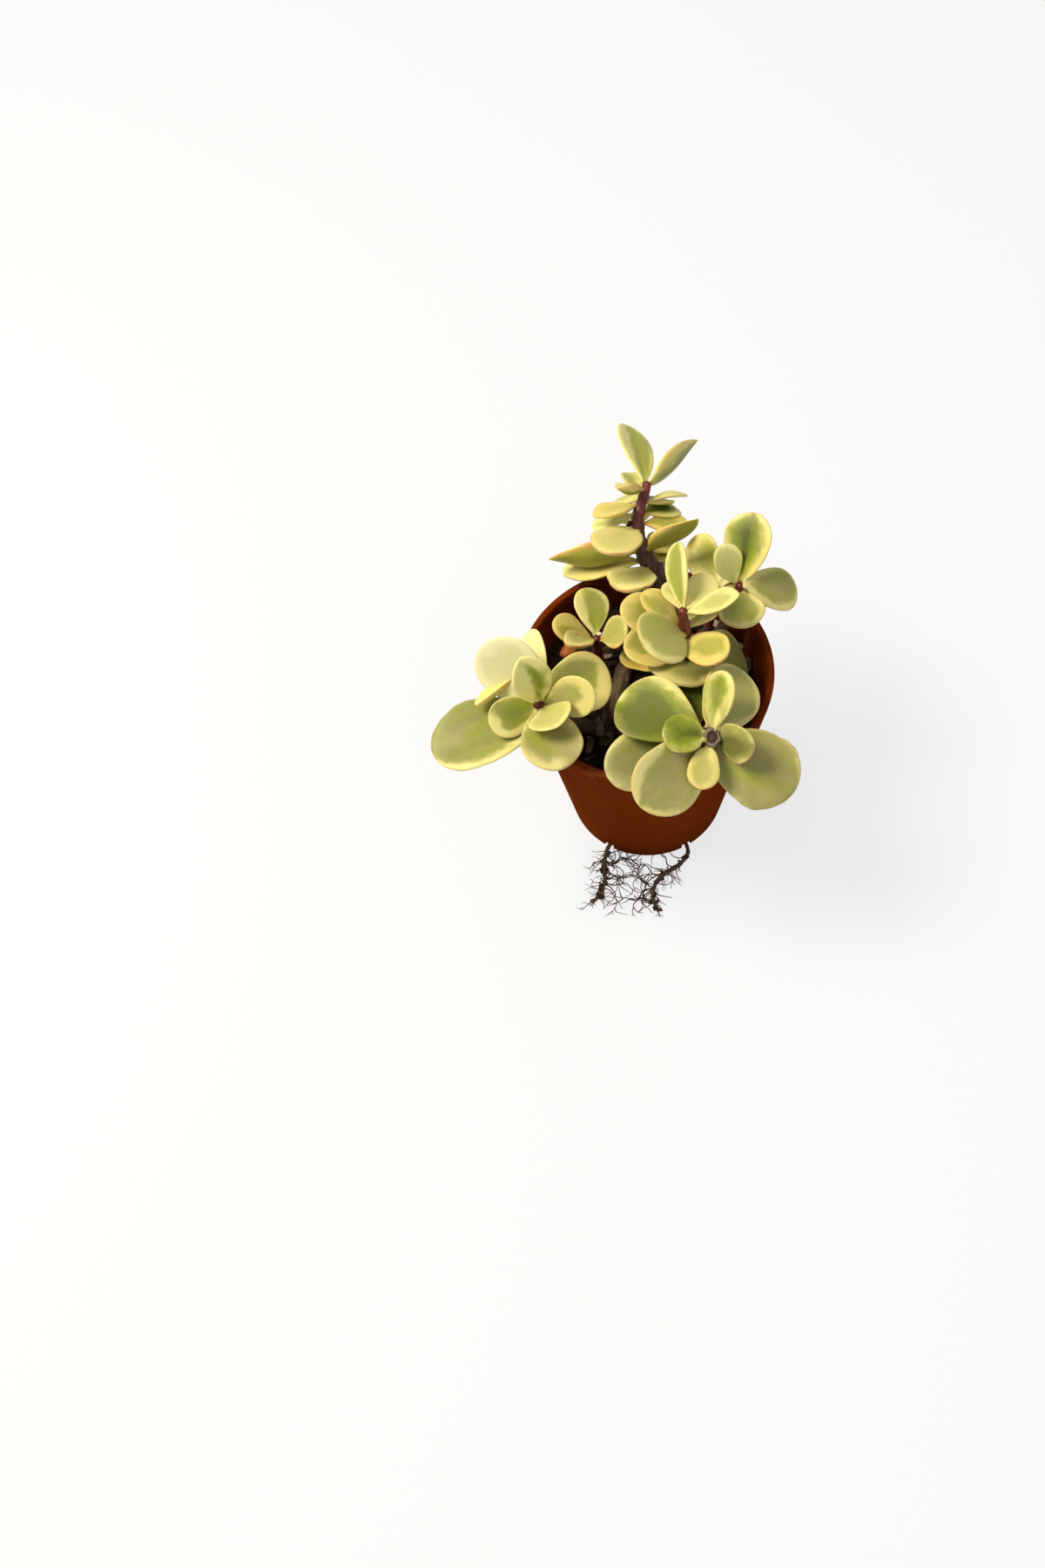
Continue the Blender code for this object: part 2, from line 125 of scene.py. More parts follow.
# One row each: height on the stem (0 to 1), heading, rise and roll in degrees, length, width, cup,
# bend, look, and what else it has.
#   shape: fold, tip, full, flesh, waves, teeth, and widest, where it is widest along its length
#   green: lean of a strip to one side, side (mm it moves to the right), far (mm it draws back by the
#   tip), full_green (the most it may reach), and under, the look of the underside
#   edge: blush, pink_side (1 when only the right edge is pink), and spots
#   or a value of its look: edge, strength, tone, gold or dark
# A fitting program worked out the first draft of these rows, and many are still as it left them,
# so they aren't a layout drawn up by hand.
LEAVES = {
    "leader": (
        (1.00, 103, -5, 38, 22.5, 11.8, 0.04, 0.00, "strip", dict(lean=0.32, fold=0.08, strength=0.8)),
        (1.00, 55, -14, -85, 24.5, 10.3, 0.04, 0.00, "fresh",
         dict(fold=0.06, tip=1.1, flesh=1.5, full=0.8, widest=0.40, blush=0.3, side=-3.5, edge=0.6,
              gold=0.3, lean=-0.25, under="band")),
        (0.92, 112, -10, 25, 10.0, 7.8, 0.20, 0.00, "pale", dict(waves=0.6, blush=0.3)),
        (0.86, -155, 10, 25, 12.5, 9.0, 0.10, 0.00, "golden",
         dict(tip=0.5, flesh=1.4, blush=0.9, strength=0.3)),
        (0.83, 32, -30, -10, 12.3, 9.2, 0.10, 0.00, "dark",
         dict(blush=0.2, flesh=1.3, gold=0.5, teeth=1.2)),
        (0.76, 100, -40, 0, 15.0, 11.0, 0.10, 0.00, "fresh", {}),
        (0.74, -120, 30, 0, 19.5, 13.0, 0.04, 0.00, "cream",
         dict(flesh=1.4, blush=1.0, full=1, gold=0.3)),
        (0.62, -15, 51, -60, 21.0, 10.7, 0.06, 0.00, "fresh",
         dict(flesh=1.6, tip=1.0, blush=0.6, widest=0.48, under="keel")),
        (0.65, -169, 5, 70, 23.5, 12.6, 0.06, 0.00, "cream",
         dict(fold=0.04, tip=1.0, flesh=3.0, widest=0.5, blush=0.8, under="keel")),
        (0.58, -179, -9, 20, 21.0, 14.5, 0.06, 0.00, "cream",
         dict(waves=1.2, blush=0.5, gold=0.3, under="keel")),
        (0.60, 50, -35, 0, 14.5, 11.0, 0.10, 0.00, "golden", {}),
        (0.54, -116, 24, 11, 14.2, 13.6, 0.10, 0.00, "pale",
         dict(waves=1.3, teeth=1.0, flesh=1.5, blush=0.9, under="dark")),
    ),
    "centre": (
        (0.99, 94, 37, -55, 16.4, 9.0, 0.06, 0.00, "strip", dict(fold=0.10, lean=-0.12, full=0.4)),
        (0.98, 50, 10, 15, 11.0, 8.5, 0.06, 0.00, "cream", dict(gold=0.2)),
        (0.98, -5, 30, -10, 15.0, 8.5, 0.08, 0.05, "pale", dict(tip=0.5, blush=0.9, tone=0.1)),
        (0.80, -130, 35, -25, 17.8, 16.0, 0.06, 0.00, "olive",
         dict(flesh=1.4, blush=0.3, full=1, tone=0.35, dark=0.0, strength=0.62)),
        (0.72, 170, 30, 0, 17.5, 13.0, 0.10, 0.00, "golden", dict(blush=0.3, tone=0.2)),
        (0.70, -54, 24, 6, 15.0, 11.7, 0.10, 0.00, "golden", dict(blush=0.9, full=1)),
        (0.56, -160, 25, -5, 17.0, 12.5, 0.10, 0.00, "golden", dict(blush=0.3)),
        (0.56, 5, -45, 0, 21.0, 16.0, 0.10, 0.00, "olive", {}),
        (0.44, -98, 30, -2, 13.7, 19.0, 0.10, 0.00, "pale",
         dict(waves=1.2, teeth=0.8, blush=0.4, gold=0.3)),
    ),
    "front_right": (
        (1.00, -179, 13, -12, 10.5, 10.3, 0.06, 0.00, "dark", dict(flesh=1.5, full=1.8, edge=0.5)),
        (1.00, 75, 40, -30, 14.5, 9.8, 0.06, 0.00, "dark",
         dict(flesh=1.6, full=0.6, edge=0.8, dark=0.6, side=-1.0, far=1.5)),
        (0.98, -105, -20, -15, 11.0, 8.5, 0.06, 0.00, "pale",
         dict(blush=1.2, flesh=1.4, tone=0.1, gold=0.35, full=1.2, side=-1.0)),
        (0.88, -129, 0, -37, 22.3, 18.7, 0.08, -0.15, "olive",
         dict(flesh=1.2, blush=0.5, full=1, edge=1.0, full_green=0.7)),
        (0.88, 151, -2, -4, 23.1, 19.4, 0.10, 0.00, "fresh",
         dict(dark=0.8, tone=0.2, flesh=1.2, full=0.3, edge=0.3, side=-0.6, widest=0.64)),
        (0.88, 65, 0, 30, 19.0, 16.5, 0.10, 0.05, "olive",
         dict(waves=0.4, blush=0.3, full=1, strength=0.8, edge=1.4, side=-1.4, full_green=0.7)),
        (0.84, -28, -12, 33, 24.3, 20.3, 0.10, 0.00, "olive",
         dict(waves=0.6, blush=0.7, full=1, edge=-0.3, strength=0.88, side=-0.8, gold=0.1, teeth=0.4,
              full_green=0.80, dark=0.55)),
        (0.91, -36, 40, 62, 13.5, 10.8, 0.08, 0.00, "fresh",
         dict(blush=2.2, flesh=1.3, tone=0.6, dark=0.8, edge=-0.3, full=0.3, widest=0.50, pink_side=1)),
        (0.72, -158, -4, -10, 23.5, 16.5, 0.06, 0.00, "olive", dict(blush=0.4, full=1, dark=0.5)),
    ),
    "left": (
        (0.98, 148, 75, -29, 16.4, 10.8, 0.10, -0.05, "strip",
         dict(lean=0.50, fold=0.12, dark=0.6, strength=1.0, full=0.6)),
        (0.96, 134, 30, -40, 20.3, 17.4, 0.02, 0.20, "cream",
         dict(waves=0.3, full=1, tone=0.25, dark=-0.55)),
        (0.94, -65, 35, 10, 14.0, 12.5, 0.10, 0.00, "pale", dict(tip=0.5, blush=0.2, teeth=1.0)),
        (0.93, 98, 11, -40, 20.4, 10.0, 0.10, 0.00, "cream",
         dict(waves=0.5, full=0.9, tone=0.3, dark=-0.2, strength=0.35)),
        (0.91, -7, 37, 50, 17.0, 11.5, 0.08, 0.05, "pale",
         dict(blush=0.2, gold=0.4, strength=0.85, edge=0.2, far=4.5)),
        (0.91, 30, 2, 36, 19.0, 16.5, 0.14, 0.00, "olive",
         dict(blush=0.6, flesh=1.3, full=1, tone=0.5, side=-2.2, edge=1.6, gold=0.45, far=2.0)),
        (0.92, -75, 5, 0, 19.5, 16.0, 0.10, 0.00, "olive", dict(blush=0.5, full=1, full_green=0.7)),
        # this leaf lies flat towards the key light; its dark=0.7 and tone are partly its own olive and
        # partly painted shade, so that it is no brighter than the leaves round it
        (0.86, -160, -5, -5, 30.8, 19.5, 0.10, 0.00, "olive",
         dict(tone=0.45, dark=0.7, blush=0.4, waves=0.4, full=1, teeth=0.35, side=1.3, edge=0.1,
              full_green=0.9)),
        (0.97, -155, 8, -42, 12.8, 11.0, 0.08, 0.05, "fresh",
         dict(flesh=1.8, dark=0.4, side=2.6, full=1.2, far=2.0)),
    ),
    "small": (
        (0.98, 100, 15, 20, 13.5, 10.5, 0.10, 0.00, "strip", dict(lean=0.2)),
        (0.95, -173, 43, -8, 13.8, 9.4, 0.10, 0.00, "golden", dict(blush=0.9)),
    ),
    "back_right": (
        (1.00, 75, 40, -20, 18.0, 14.0, 0.10, 0.00, "band", dict(lean=-0.12, full=0.6)),
        (1.00, 5, -30, 20, 16.5, 12.0, 0.10, 0.00, "olive",
         dict(blush=0.3, full=1, tone=0.9, full_green=0.7)),
        # this leaf faces away from the key light; its strength=0.35 leaves it mostly cream, partly its own
        # pale yellow and partly painted light, so that it is as bright as its neighbours
        (0.98, 128, 55, -5, 11.5, 8.6, 0.10, 0.00, "fresh",
         dict(flesh=1.4, gold=0.0, side=-1.5, strength=0.35)),
        (0.92, -90, 10, 0, 13.0, 13.0, 0.10, 0.00, "olive",
         dict(blush=0.7, waves=0.3, full=1, tone=0.6)),
        (0.78, 35, -40, 0, 13.5, 10.5, 0.10, 0.00, "olive", {}),
    ),
    "back_twig": (
        (0.92, 107, 8, -35, 17.5, 10.5, 0.10, 0.00, "golden", dict(tone=0.0, gold=0.4)),
    ),
}
# small leaves between the others, which have no solid of their own; some rows come from the same fit
SMALL_LEAVES = {
    "leader": (
        (0.955, -150, 34, 40, 9.4, 6.2, 0.10, 0.00, "pale",
         dict(tip=0.9, flesh=2.1, blush=0.8, fold=0.1, under="fresh")),
        (0.80, 180, -20, 15, 11.5, 8.0, 0.10, 0.00, "pale", dict(waves=1.0, blush=0.3)),
        (0.89, 40, -38, -25, 10.5, 8.0, 0.10, 0.00, "dark", {}),
        (0.77, 5, -14, -5, 12.5, 8.0, 0.10, 0.00, "golden", dict(blush=0.9, flesh=1.3, gold=0.8)),
        (0.52, 45, -25, -15, 12.0, 9.5, 0.10, 0.00, "golden", {}),
        (0.48, 60, -35, -20, 10.0, 8.0, 0.10, 0.00, "olive", {}),
        (0.89, 128, -38, 0, 9.5, 8.5, 0.12, 0.00, "pale", {}),
        (0.90, 30, 4, -10, 11.5, 2.6, 0.10, -0.45, "pale", dict(waves=0.6)),
    ),
    "centre": (
        (0.96, 110, 0, 10, 9.0, 6.5, 0.08, 0.00, "pale", dict(blush=0.4)),
        (0.74, 45, -15, -25, 9.5, 7.5, 0.10, 0.00, "pale", {}),
        (0.80, 150, 45, 5, 12.5, 8.5, 0.06, -0.20, "golden", dict(blush=0.5)),
        (0.54, 160, 5, 20, 14.0, 8.0, 0.06, 0.00, "pale", dict(blush=0.8)),
        (0.80, 75, -5, 0, 12.5, 10.0, 0.10, 0.00, "pale", {}),
        (0.30, 171, 2, -25, 16.5, 7.0, 0.30, 0.00, "amber", dict(waves=1.0, blush=1.0, spots=1.0)),
    ),
    "front_right": (
        (0.66, 103, 0, 10, 16.0, 12.5, 0.06, 0.05, "dark", {}),
    ),
    "left_twig": (
        (1.00, -143, -4, 30, 17.0, 4.6, 0.16, -0.05, "cream",
         dict(blush=0.6, gold=0.35, flesh=2.0, full=2.6)),
    ),
    "small": (
        (1.00, -134, 42, -3, 13.0, 7.0, 0.20, 0.00, "pale",
         dict(waves=0.6, blush=1.0, spots=1.0, tone=0.1, flesh=1.6, under="dark")),
        (0.96, -10, 42, 20, 10.0, 9.5, 0.10, 0.00, "golden",
         dict(blush=0.5, spots=1.0, tone=0.6, gold=0.4, edge=1.2)),
    ),
    "back_right": (
        (0.84, 100, -20, 0, 14.0, 10.5, 0.10, 0.00, "olive", {}),
    ),
    "back_twig": (
        (1.00, 60, 15, 0, 14.0, 10.5, 0.10, 0.00, "pale", {}),
    ),
}
LEAF_RINGS = 34
LEAF_ROUND = 32
LEAF_CROWDING = 1.9          # power that draws the rings together towards the tip
LEAF_WIDEST = 0.6            # share of the length, where a row gives none
LEAF_BASE_WIDTH = 0.16       # of the foot, as a share of the widest
LEAF_OFFSET = 0.6            # a leaf's length is counted from this many mm outside the bark
LEAF_SECTION = 0.80          # power that squares the blade's section off towards a fleshy edge
LEAF_THIN, LEAF_FLESHY = 0.9, 0.07      # thickness: so many mm, and so many more per mm of width
TOOTH_DEPTH = 0.05           # of the half width, at teeth 1
GREEN_WANDER = 3.4           # mm that the border of the green strays
NO_BLUSH = 3.0               # mm; an edge that reads as this far in stays free of pink
SPOT_LEVEL = 0.42            # the noise makes a spot where it is above this


# ---- camera, light and floor -----------------------------------------------------------------
CAMERA_PLACE = (0, -0.21668, 0.40523)
CAMERA_AIM = (-0.03257, -0.03555, 0.070)
CAMERA_ROLL = -9.78
FLOOR_HALF = 3               # metres
CARD_NEAR, CARD_FAR = 0.35, 1.4         # metres; between these the card turns to the backdrop's white
CARD_WHITE = 0.74            # share of white that the eye adds to the card near the plant


def rgb(code):
    """An sRGB hex value as linear light."""
    parts = [int(code[i:i + 2], 16) / 255 for i in (0, 2, 4)]
    return (*(c / 12.92 if c <= 0.04045 else ((c + 0.055) / 1.055) ** 2.4 for c in parts), 1.0)


def look_from(location, target, roll=0.0):
    """Where a camera or lamp stands so that it looks at the target, turned by a roll in degrees."""
    aim = (Vector(target) - Vector(location)).to_track_quat("-Z", "Y").to_matrix().to_4x4()
    return Matrix.Translation(location) @ aim @ Matrix.Rotation(math.radians(roll), 4, "Z")


def add_camera():
    data = bpy.data.cameras.new("camera")
    data.lens = 33.4
    data.sensor_width = 36.0
    data.sensor_fit = "AUTO"
    data.clip_start = 0.01
    camera = bpy.data.objects.new("camera", data)
    bpy.context.collection.objects.link(camera)
    camera.matrix_world = look_from(CAMERA_PLACE, CAMERA_AIM, CAMERA_ROLL)
    bpy.context.scene.camera = camera


def add_softbox(name, location, size, watts, colour):
    data = bpy.data.lights.new(name, "AREA")
    data.shape = "RECTANGLE"
    data.size, data.size_y = size
    data.energy = watts
    data.color = rgb(colour)[:3]
    lamp = bpy.data.objects.new(name, data)
    bpy.context.collection.objects.link(lamp)
    lamp.matrix_world = look_from(location, (0, 0, 0.06))


def node(tree, kind, inputs=None, **settings):
    """Add one node: settings are its properties, inputs its sockets' values or links."""
    made = tree.nodes.new(kind)
    for key, value in settings.items():
        setattr(made, key, value)
    for key, value in (inputs or {}).items():
        if isinstance(value, bpy.types.NodeSocket):
            tree.links.new(value, made.inputs[key])
        else:
            made.inputs[key].default_value = value
    return made


def new_material(name):
    made = bpy.data.materials.new(name)
    made.use_nodes = True
    made.node_tree.nodes.clear()
    return made, made.node_tree


def add_floor():
    """Matt white card; it keeps the soft shadow, and the eye sees it a little whiter than the plant
    does, so that the card stays white and the light on the plant stays plain.  Away from the plant
    it turns to the white of the backdrop, so that no far edge shows."""
    mesh = bpy.data.meshes.new("studio_floor")
    corners = [(x * FLOOR_HALF, y * FLOOR_HALF, 0) for x, y in ((-1, -1), (1, -1), (1, 1), (-1, 1))]
    mesh.from_pydata(corners, [], [(0, 1, 2, 3)])
    floor = bpy.data.objects.new("studio_floor", mesh)
    bpy.context.collection.objects.link(floor)
    card, tree = new_material("matt white card")
    paper = node(tree, "ShaderNodeBsdfDiffuse", {"Color": rgb("DADAD9")})
    glow = node(tree, "ShaderNodeEmission", {"Color": rgb("FFFFFF"), "Strength": 1.0})
    path = node(tree, "ShaderNodeLightPath")
    place = node(tree, "ShaderNodeTexCoord")
    far = node(tree, "ShaderNodeVectorMath", {0: place.outputs["Object"]}, operation="LENGTH")
    white = node(tree, "ShaderNodeMapRange", {0: far.outputs["Value"], 1: CARD_NEAR, 2: CARD_FAR,
                                              3: CARD_WHITE, 4: 1.0})
    share = node(tree, "ShaderNodeMath", {0: path.outputs["Is Camera Ray"], 1: white.outputs[0]},
                 operation="MULTIPLY")
    both = node(tree, "ShaderNodeMixShader", {0: share.outputs[0], 1: paper.outputs[0],
                                              2: glow.outputs[0]})
    node(tree, "ShaderNodeOutputMaterial", {"Surface": both.outputs[0]})
    mesh.materials.append(card)


def add_light():
    world = bpy.data.worlds.new("studio")
    bpy.context.scene.world = world
    world.use_nodes = True
    tree = world.node_tree
    tree.nodes.clear()
    path = node(tree, "ShaderNodeLightPath")
    seen = node(tree, "ShaderNodeMath", {0: path.outputs["Is Camera Ray"],
                                         1: path.outputs["Is Transmission Ray"]}, operation="ADD",
                use_clamp=True)
    soft = node(tree, "ShaderNodeBackground", {"Color": rgb("F7F8FA"), "Strength": 0.46})
    white = node(tree, "ShaderNodeBackground", {"Color": rgb("FFFFFF"), "Strength": 1.0})
    both = node(tree, "ShaderNodeMixShader", {0: seen.outputs[0], 1: soft.outputs[0],
                                              2: white.outputs[0]})
    node(tree, "ShaderNodeOutputWorld", {"Surface": both.outputs[0]})
    add_softbox("key softbox", (-0.50, 0.02, 0.80), (0.35, 0.35), 9.3, "FFF6E8")
    add_softbox("fill softbox", (0.6, -0.5, 0.7), (0.8, 0.8), 1.6, "F6F9FF")
    bpy.context.scene.view_settings.view_transform = "Standard"


# ---- small tools for meshes ------------------------------------------------------------------
def smooth_step(low, high, value):
    t = min(max((value - low) / (high - low), 0.0), 1.0)
    return t * t * (3 - 2 * t)


def add_piece(name, points, faces, material, attributes=None, nodes=()):
    """Make one piece from points in millimetres; attributes holds one value per point."""
    mesh = bpy.data.meshes.new(name)
    mesh.from_pydata([(x * MM, y * MM, z * MM) for x, y, z in points], [], faces)
    for key, values in (attributes or {}).items():
        vector = isinstance(values[0], (tuple, list, Vector))
        layer = mesh.attributes.new(key, "FLOAT_VECTOR" if vector else "FLOAT", "POINT")
        flat = [c for v in values for c in v] if vector else values
        layer.data.foreach_set("vector" if vector else "value", flat)
    mesh.shade_smooth()
    mesh.materials.append(material)
    piece = bpy.data.objects.new(name, mesh)
    bpy.context.collection.objects.link(piece)
    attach(piece, "root")
    if nodes:
        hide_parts(*nodes)
    return piece


def ring_faces(rings, sides, close_start=True, close_end=True):
    """Quads between rings of points, with a flat cap at either end.  The faces point outwards only
    where each ring runs anticlockwise, seen from the end of the run."""
    faces = []
    for i in range(rings - 1):
        for k in range(sides):
            nxt = (k + 1) % sides
            a = i * sides
            faces.append((a + k, a + nxt, a + sides + nxt, a + sides + k))
    if close_start:
        faces.append(tuple(range(sides))[::-1])
    if close_end:
        faces.append(tuple((rings - 1) * sides + k for k in range(sides)))
    return faces


def circle(radius, sides):
    """Places (x, y) round a circle."""
    turns = [math.tau * k / sides for k in range(sides)]
    return [(radius * math.cos(turn), radius * math.sin(turn)) for turn in turns]


def smooth_path(path, step):
    """A Catmull-Rom curve through (x, y, z, radius) points, read every step millimetres."""
    pts = [Vector(p) for p in path]
    pts = [pts[0] * 2 - pts[1]] + pts + [pts[-1] * 2 - pts[-2]]
    fine = []
    for a, b, c, d in zip(pts, pts[1:], pts[2:], pts[3:]):
        count = max(2, round((c.xyz - b.xyz).length / step))
        for i in range(count):
            t = i / count
            fine.append(0.5 * (2 * b + (c - a) * t + (2 * a - 5 * b + 4 * c - d) * t * t
                               + (3 * b - a - 3 * c + d) * t ** 3))
    fine.append(pts[-2])
    return fine


def stem_at(path, share):
    """Point, radius and direction at a share of a stem's length, on straight runs."""
    steps = [(Vector(b[:3]) - Vector(a[:3])).length for a, b in zip(path, path[1:])]

    def read(distance):
        distance = min(max(distance, 0.0), sum(steps))
        for index, step in enumerate(steps):
            if distance <= step or index == len(steps) - 1:
                break
            distance -= step
        a, b = path[index], path[index + 1]
        t = min(distance / step, 1.0)
        return Vector([a[i] + (b[i] - a[i]) * t for i in range(3)]), a[3] + (b[3] - a[3]) * t

    here = share * sum(steps)
    point, radius = read(here)
    along = (read(here + 1.5)[0] - read(here - 1.5)[0]).normalized()
    return point, radius, along


# ---- materials -------------------------------------------------------------------------------
def colour_ramp(tree, factor, stops):
    """A ramp through (position, hex colour) stops."""
    made = node(tree, "ShaderNodeValToRGB", {0: factor})
    elements = made.color_ramp.elements
    for element, (position, code) in zip(elements, (stops[0], stops[-1])):
        element.position = position
        element.color = rgb(code)
    for position, code in stops[1:-1]:
        elements.new(position).color = rgb(code)
    return made.outputs[0]


def leaf_material():
    """Fleshy leaf skin: a waxy bloom over olive tissue, with cream-yellow margins without
    chlorophyll and a pink edge where the sun has caught it.  The wax gives a broad soft sheen."""
    skin, tree = new_material("waxy variegated leaf")

    def layer(name, output="Fac"):
        return node(tree, "ShaderNodeAttribute", attribute_name=name).outputs[output]

    def calc(operation, a, b=0.0, c=0.0, clamp=False):
        made = node(tree, "ShaderNodeMath", {0: a, 1: b, 2: c}, operation=operation, use_clamp=clamp)
        return made.outputs[0]

    def mix(factor, low, high):
        return node(tree, "ShaderNodeMix", {0: factor, 6: low, 7: high}, data_type="RGBA").outputs[2]

    def grainy(scale, detail, rough=0.55):
        return node(tree, "ShaderNodeTexNoise", {"Vector": place, "Scale": scale, "Detail": detail,
                                                 "Roughness": rough}).outputs[0]

    place = layer("place", "Vector")                     # mm across, mm along, one lane per leaf
    tissue = node(tree, "ShaderNodeSeparateXYZ", {0: layer("tissue", "Vector")})
    margin = node(tree, "ShaderNodeSeparateXYZ", {0: layer("margin", "Vector")})
    rim = layer("rim")                                   # mm in from the edge
    streaks = grainy(0.85, 4.0, 0.6)                     # 1.2 mm streaks, drawn out along the veins
    clouds = grainy(0.26, 3.0)                           # 4 mm patches
    field = calc("MULTIPLY_ADD", calc("SUBTRACT", streaks, 0.5), 0.75, tissue.outputs[0])
    field = calc("MULTIPLY_ADD", calc("SUBTRACT", clouds, 0.5), 1.5, field)
    green = node(tree, "ShaderNodeMapRange", {0: field, 1: 0.0, 2: 1.0},
                 interpolation_type="SMOOTHSTEP").outputs[0]
    green = calc("MULTIPLY", green, tissue.outputs[1], clamp=True)
    cream = mix(margin.outputs[0], rgb("EBE49C"), rgb("D6B040"))
    cream = mix(calc("MULTIPLY", clouds, 0.5), cream, rgb("D2CC60"))
    cream = mix(calc("MULTIPLY", tissue.outputs[2], 0.6), cream, rgb("C4BA78"))
    drift = calc("MULTIPLY_ADD", calc("SUBTRACT", grainy(0.15, 3.0), 0.5), 3.6, tissue.outputs[2],
                 clamp=True)                             # 7 mm patches of fresher or greyer green
    hue = mix(drift, rgb("8C981E"), rgb("9A9358"))
    hue = mix(calc("MULTIPLY", calc("SUBTRACT", streaks, 0.45), 1.3, clamp=True), hue, rgb("ABA552"))
    deep = node(tree, "ShaderNodeMapRange", {0: field, 1: 0.8, 2: 2.2, 3: 0.0, 4: margin.outputs[2]})
    hue = mix(deep.outputs[0], hue, rgb("4C5412"))
    milky = calc("MULTIPLY", margin.outputs[2], -1.0, clamp=True)
    colour = mix(green, mix(milky, cream, rgb("F0EDCB")), hue)
    # peach along the last half millimetre of the edge, in patches 5 mm long
    edge = node(tree, "ShaderNodeMapRange", {0: rim, 1: 0.75, 2: 0.1, 3: 0.0, 4: margin.outputs[1]})
    flush = node(tree, "ShaderNodeMapRange", {0: grainy(0.20, 1.0), 1: 0.35, 2: 0.6, 3: 0.0, 4: 0.85})
    colour = mix(calc("MULTIPLY", edge.outputs[0], flush.outputs[0], clamp=True), colour, rgb("D08A58"))
    # a few corky freckles, about 0.3 mm wide
    cells = node(tree, "ShaderNodeTexVoronoi", {"Vector": place, "Scale": 0.33})
    freckle = node(tree, "ShaderNodeMapRange", {0: cells.outputs["Distance"], 1: 0.09, 2: 0.03,
                                                3: 0.0, 4: 0.40})
    colour = mix(freckle.outputs[0], colour, rgb("96703A"))

    height = calc("MULTIPLY_ADD", clouds, 1.4, grainy(3.4, 2.0))
    bump = node(tree, "ShaderNodeBump", {"Height": height, "Strength": 0.14, "Distance": 0.0002})
    rough = calc("MULTIPLY_ADD", streaks, 0.22, 0.34)
    shader = node(tree, "ShaderNodeBsdfPrincipled", {
        "Base Color": colour, "Roughness": rough, "IOR": 1.42, "Subsurface Weight": 0.35,
        "Subsurface Radius": (1.0, 0.85, 0.20), "Subsurface Scale": 0.0012,
        "Specular IOR Level": 0.35,
        "Coat Weight": 0.06, "Coat Roughness": 0.32, "Normal": bump.outputs[0]})
    node(tree, "ShaderNodeOutputMaterial", {"Surface": shader.outputs[0]})
    return skin


def wood_material(name, bark_codes, young_codes):
    """Bark with fine fibres drawn out along the stem, and a smoother young skin above it; the two
    meet where the age written on the mesh falls from 1 to 0."""
    skin, tree = new_material(name)
    age = node(tree, "ShaderNodeAttribute", attribute_name="age")
    place = node(tree, "ShaderNodeAttribute", attribute_name="place")      # mm round, mm along
    fibres = node(tree, "ShaderNodeTexNoise", {"Vector": place.outputs["Vector"], "Scale": 0.9,
                                               "Detail": 6.0, "Roughness": 0.65})
    flakes = node(tree, "ShaderNodeTexVoronoi", {"Vector": place.outputs["Vector"], "Scale": 0.55})

    young, bark = (colour_ramp(tree, fibres.outputs[0], tuple(zip((0.32, 0.70), codes)))
                   for codes in (young_codes, bark_codes))
    colour = node(tree, "ShaderNodeMix", {0: age.outputs["Fac"], 6: young, 7: bark}, data_type="RGBA")
    height = node(tree, "ShaderNodeMath", {0: fibres.outputs[0], 1: flakes.outputs["Distance"]},
                  operation="ADD")
    bump = node(tree, "ShaderNodeBump", {"Height": height.outputs[0], "Strength": 0.40,
                                         "Distance": 0.0004})
    rough = node(tree, "ShaderNodeMapRange", {0: age.outputs["Fac"], 3: 0.38, 4: 0.80})
    shader = node(tree, "ShaderNodeBsdfPrincipled", {
        "Base Color": colour.outputs[2], "Roughness": rough.outputs[0], "Normal": bump.outputs[0]})
    node(tree, "ShaderNodeOutputMaterial", {"Surface": shader.outputs[0]})
    return skin


def ramp_material(name, coords, scale, stops, roughness, bump_strength, bump_mm, detail=5.0):
    """A matt surface coloured by one fine noise through a ramp of hex colours."""
    skin, tree = new_material(name)
    place = node(tree, "ShaderNodeTexCoord")
    grain = node(tree, "ShaderNodeTexNoise", {"Vector": place.outputs[coords], "Scale": scale,
                                              "Detail": detail, "Roughness": 0.65})
    bump = node(tree, "ShaderNodeBump", {"Height": grain.outputs[0], "Strength": bump_strength,
                                         "Distance": bump_mm * MM})
    shader = node(tree, "ShaderNodeBsdfPrincipled", {
        "Base Color": colour_ramp(tree, grain.outputs[0], stops), "Roughness": roughness,
        "Specular IOR Level": 0.3,
        "Normal": bump.outputs[0]})
    node(tree, "ShaderNodeOutputMaterial", {"Surface": shader.outputs[0]})
    return skin


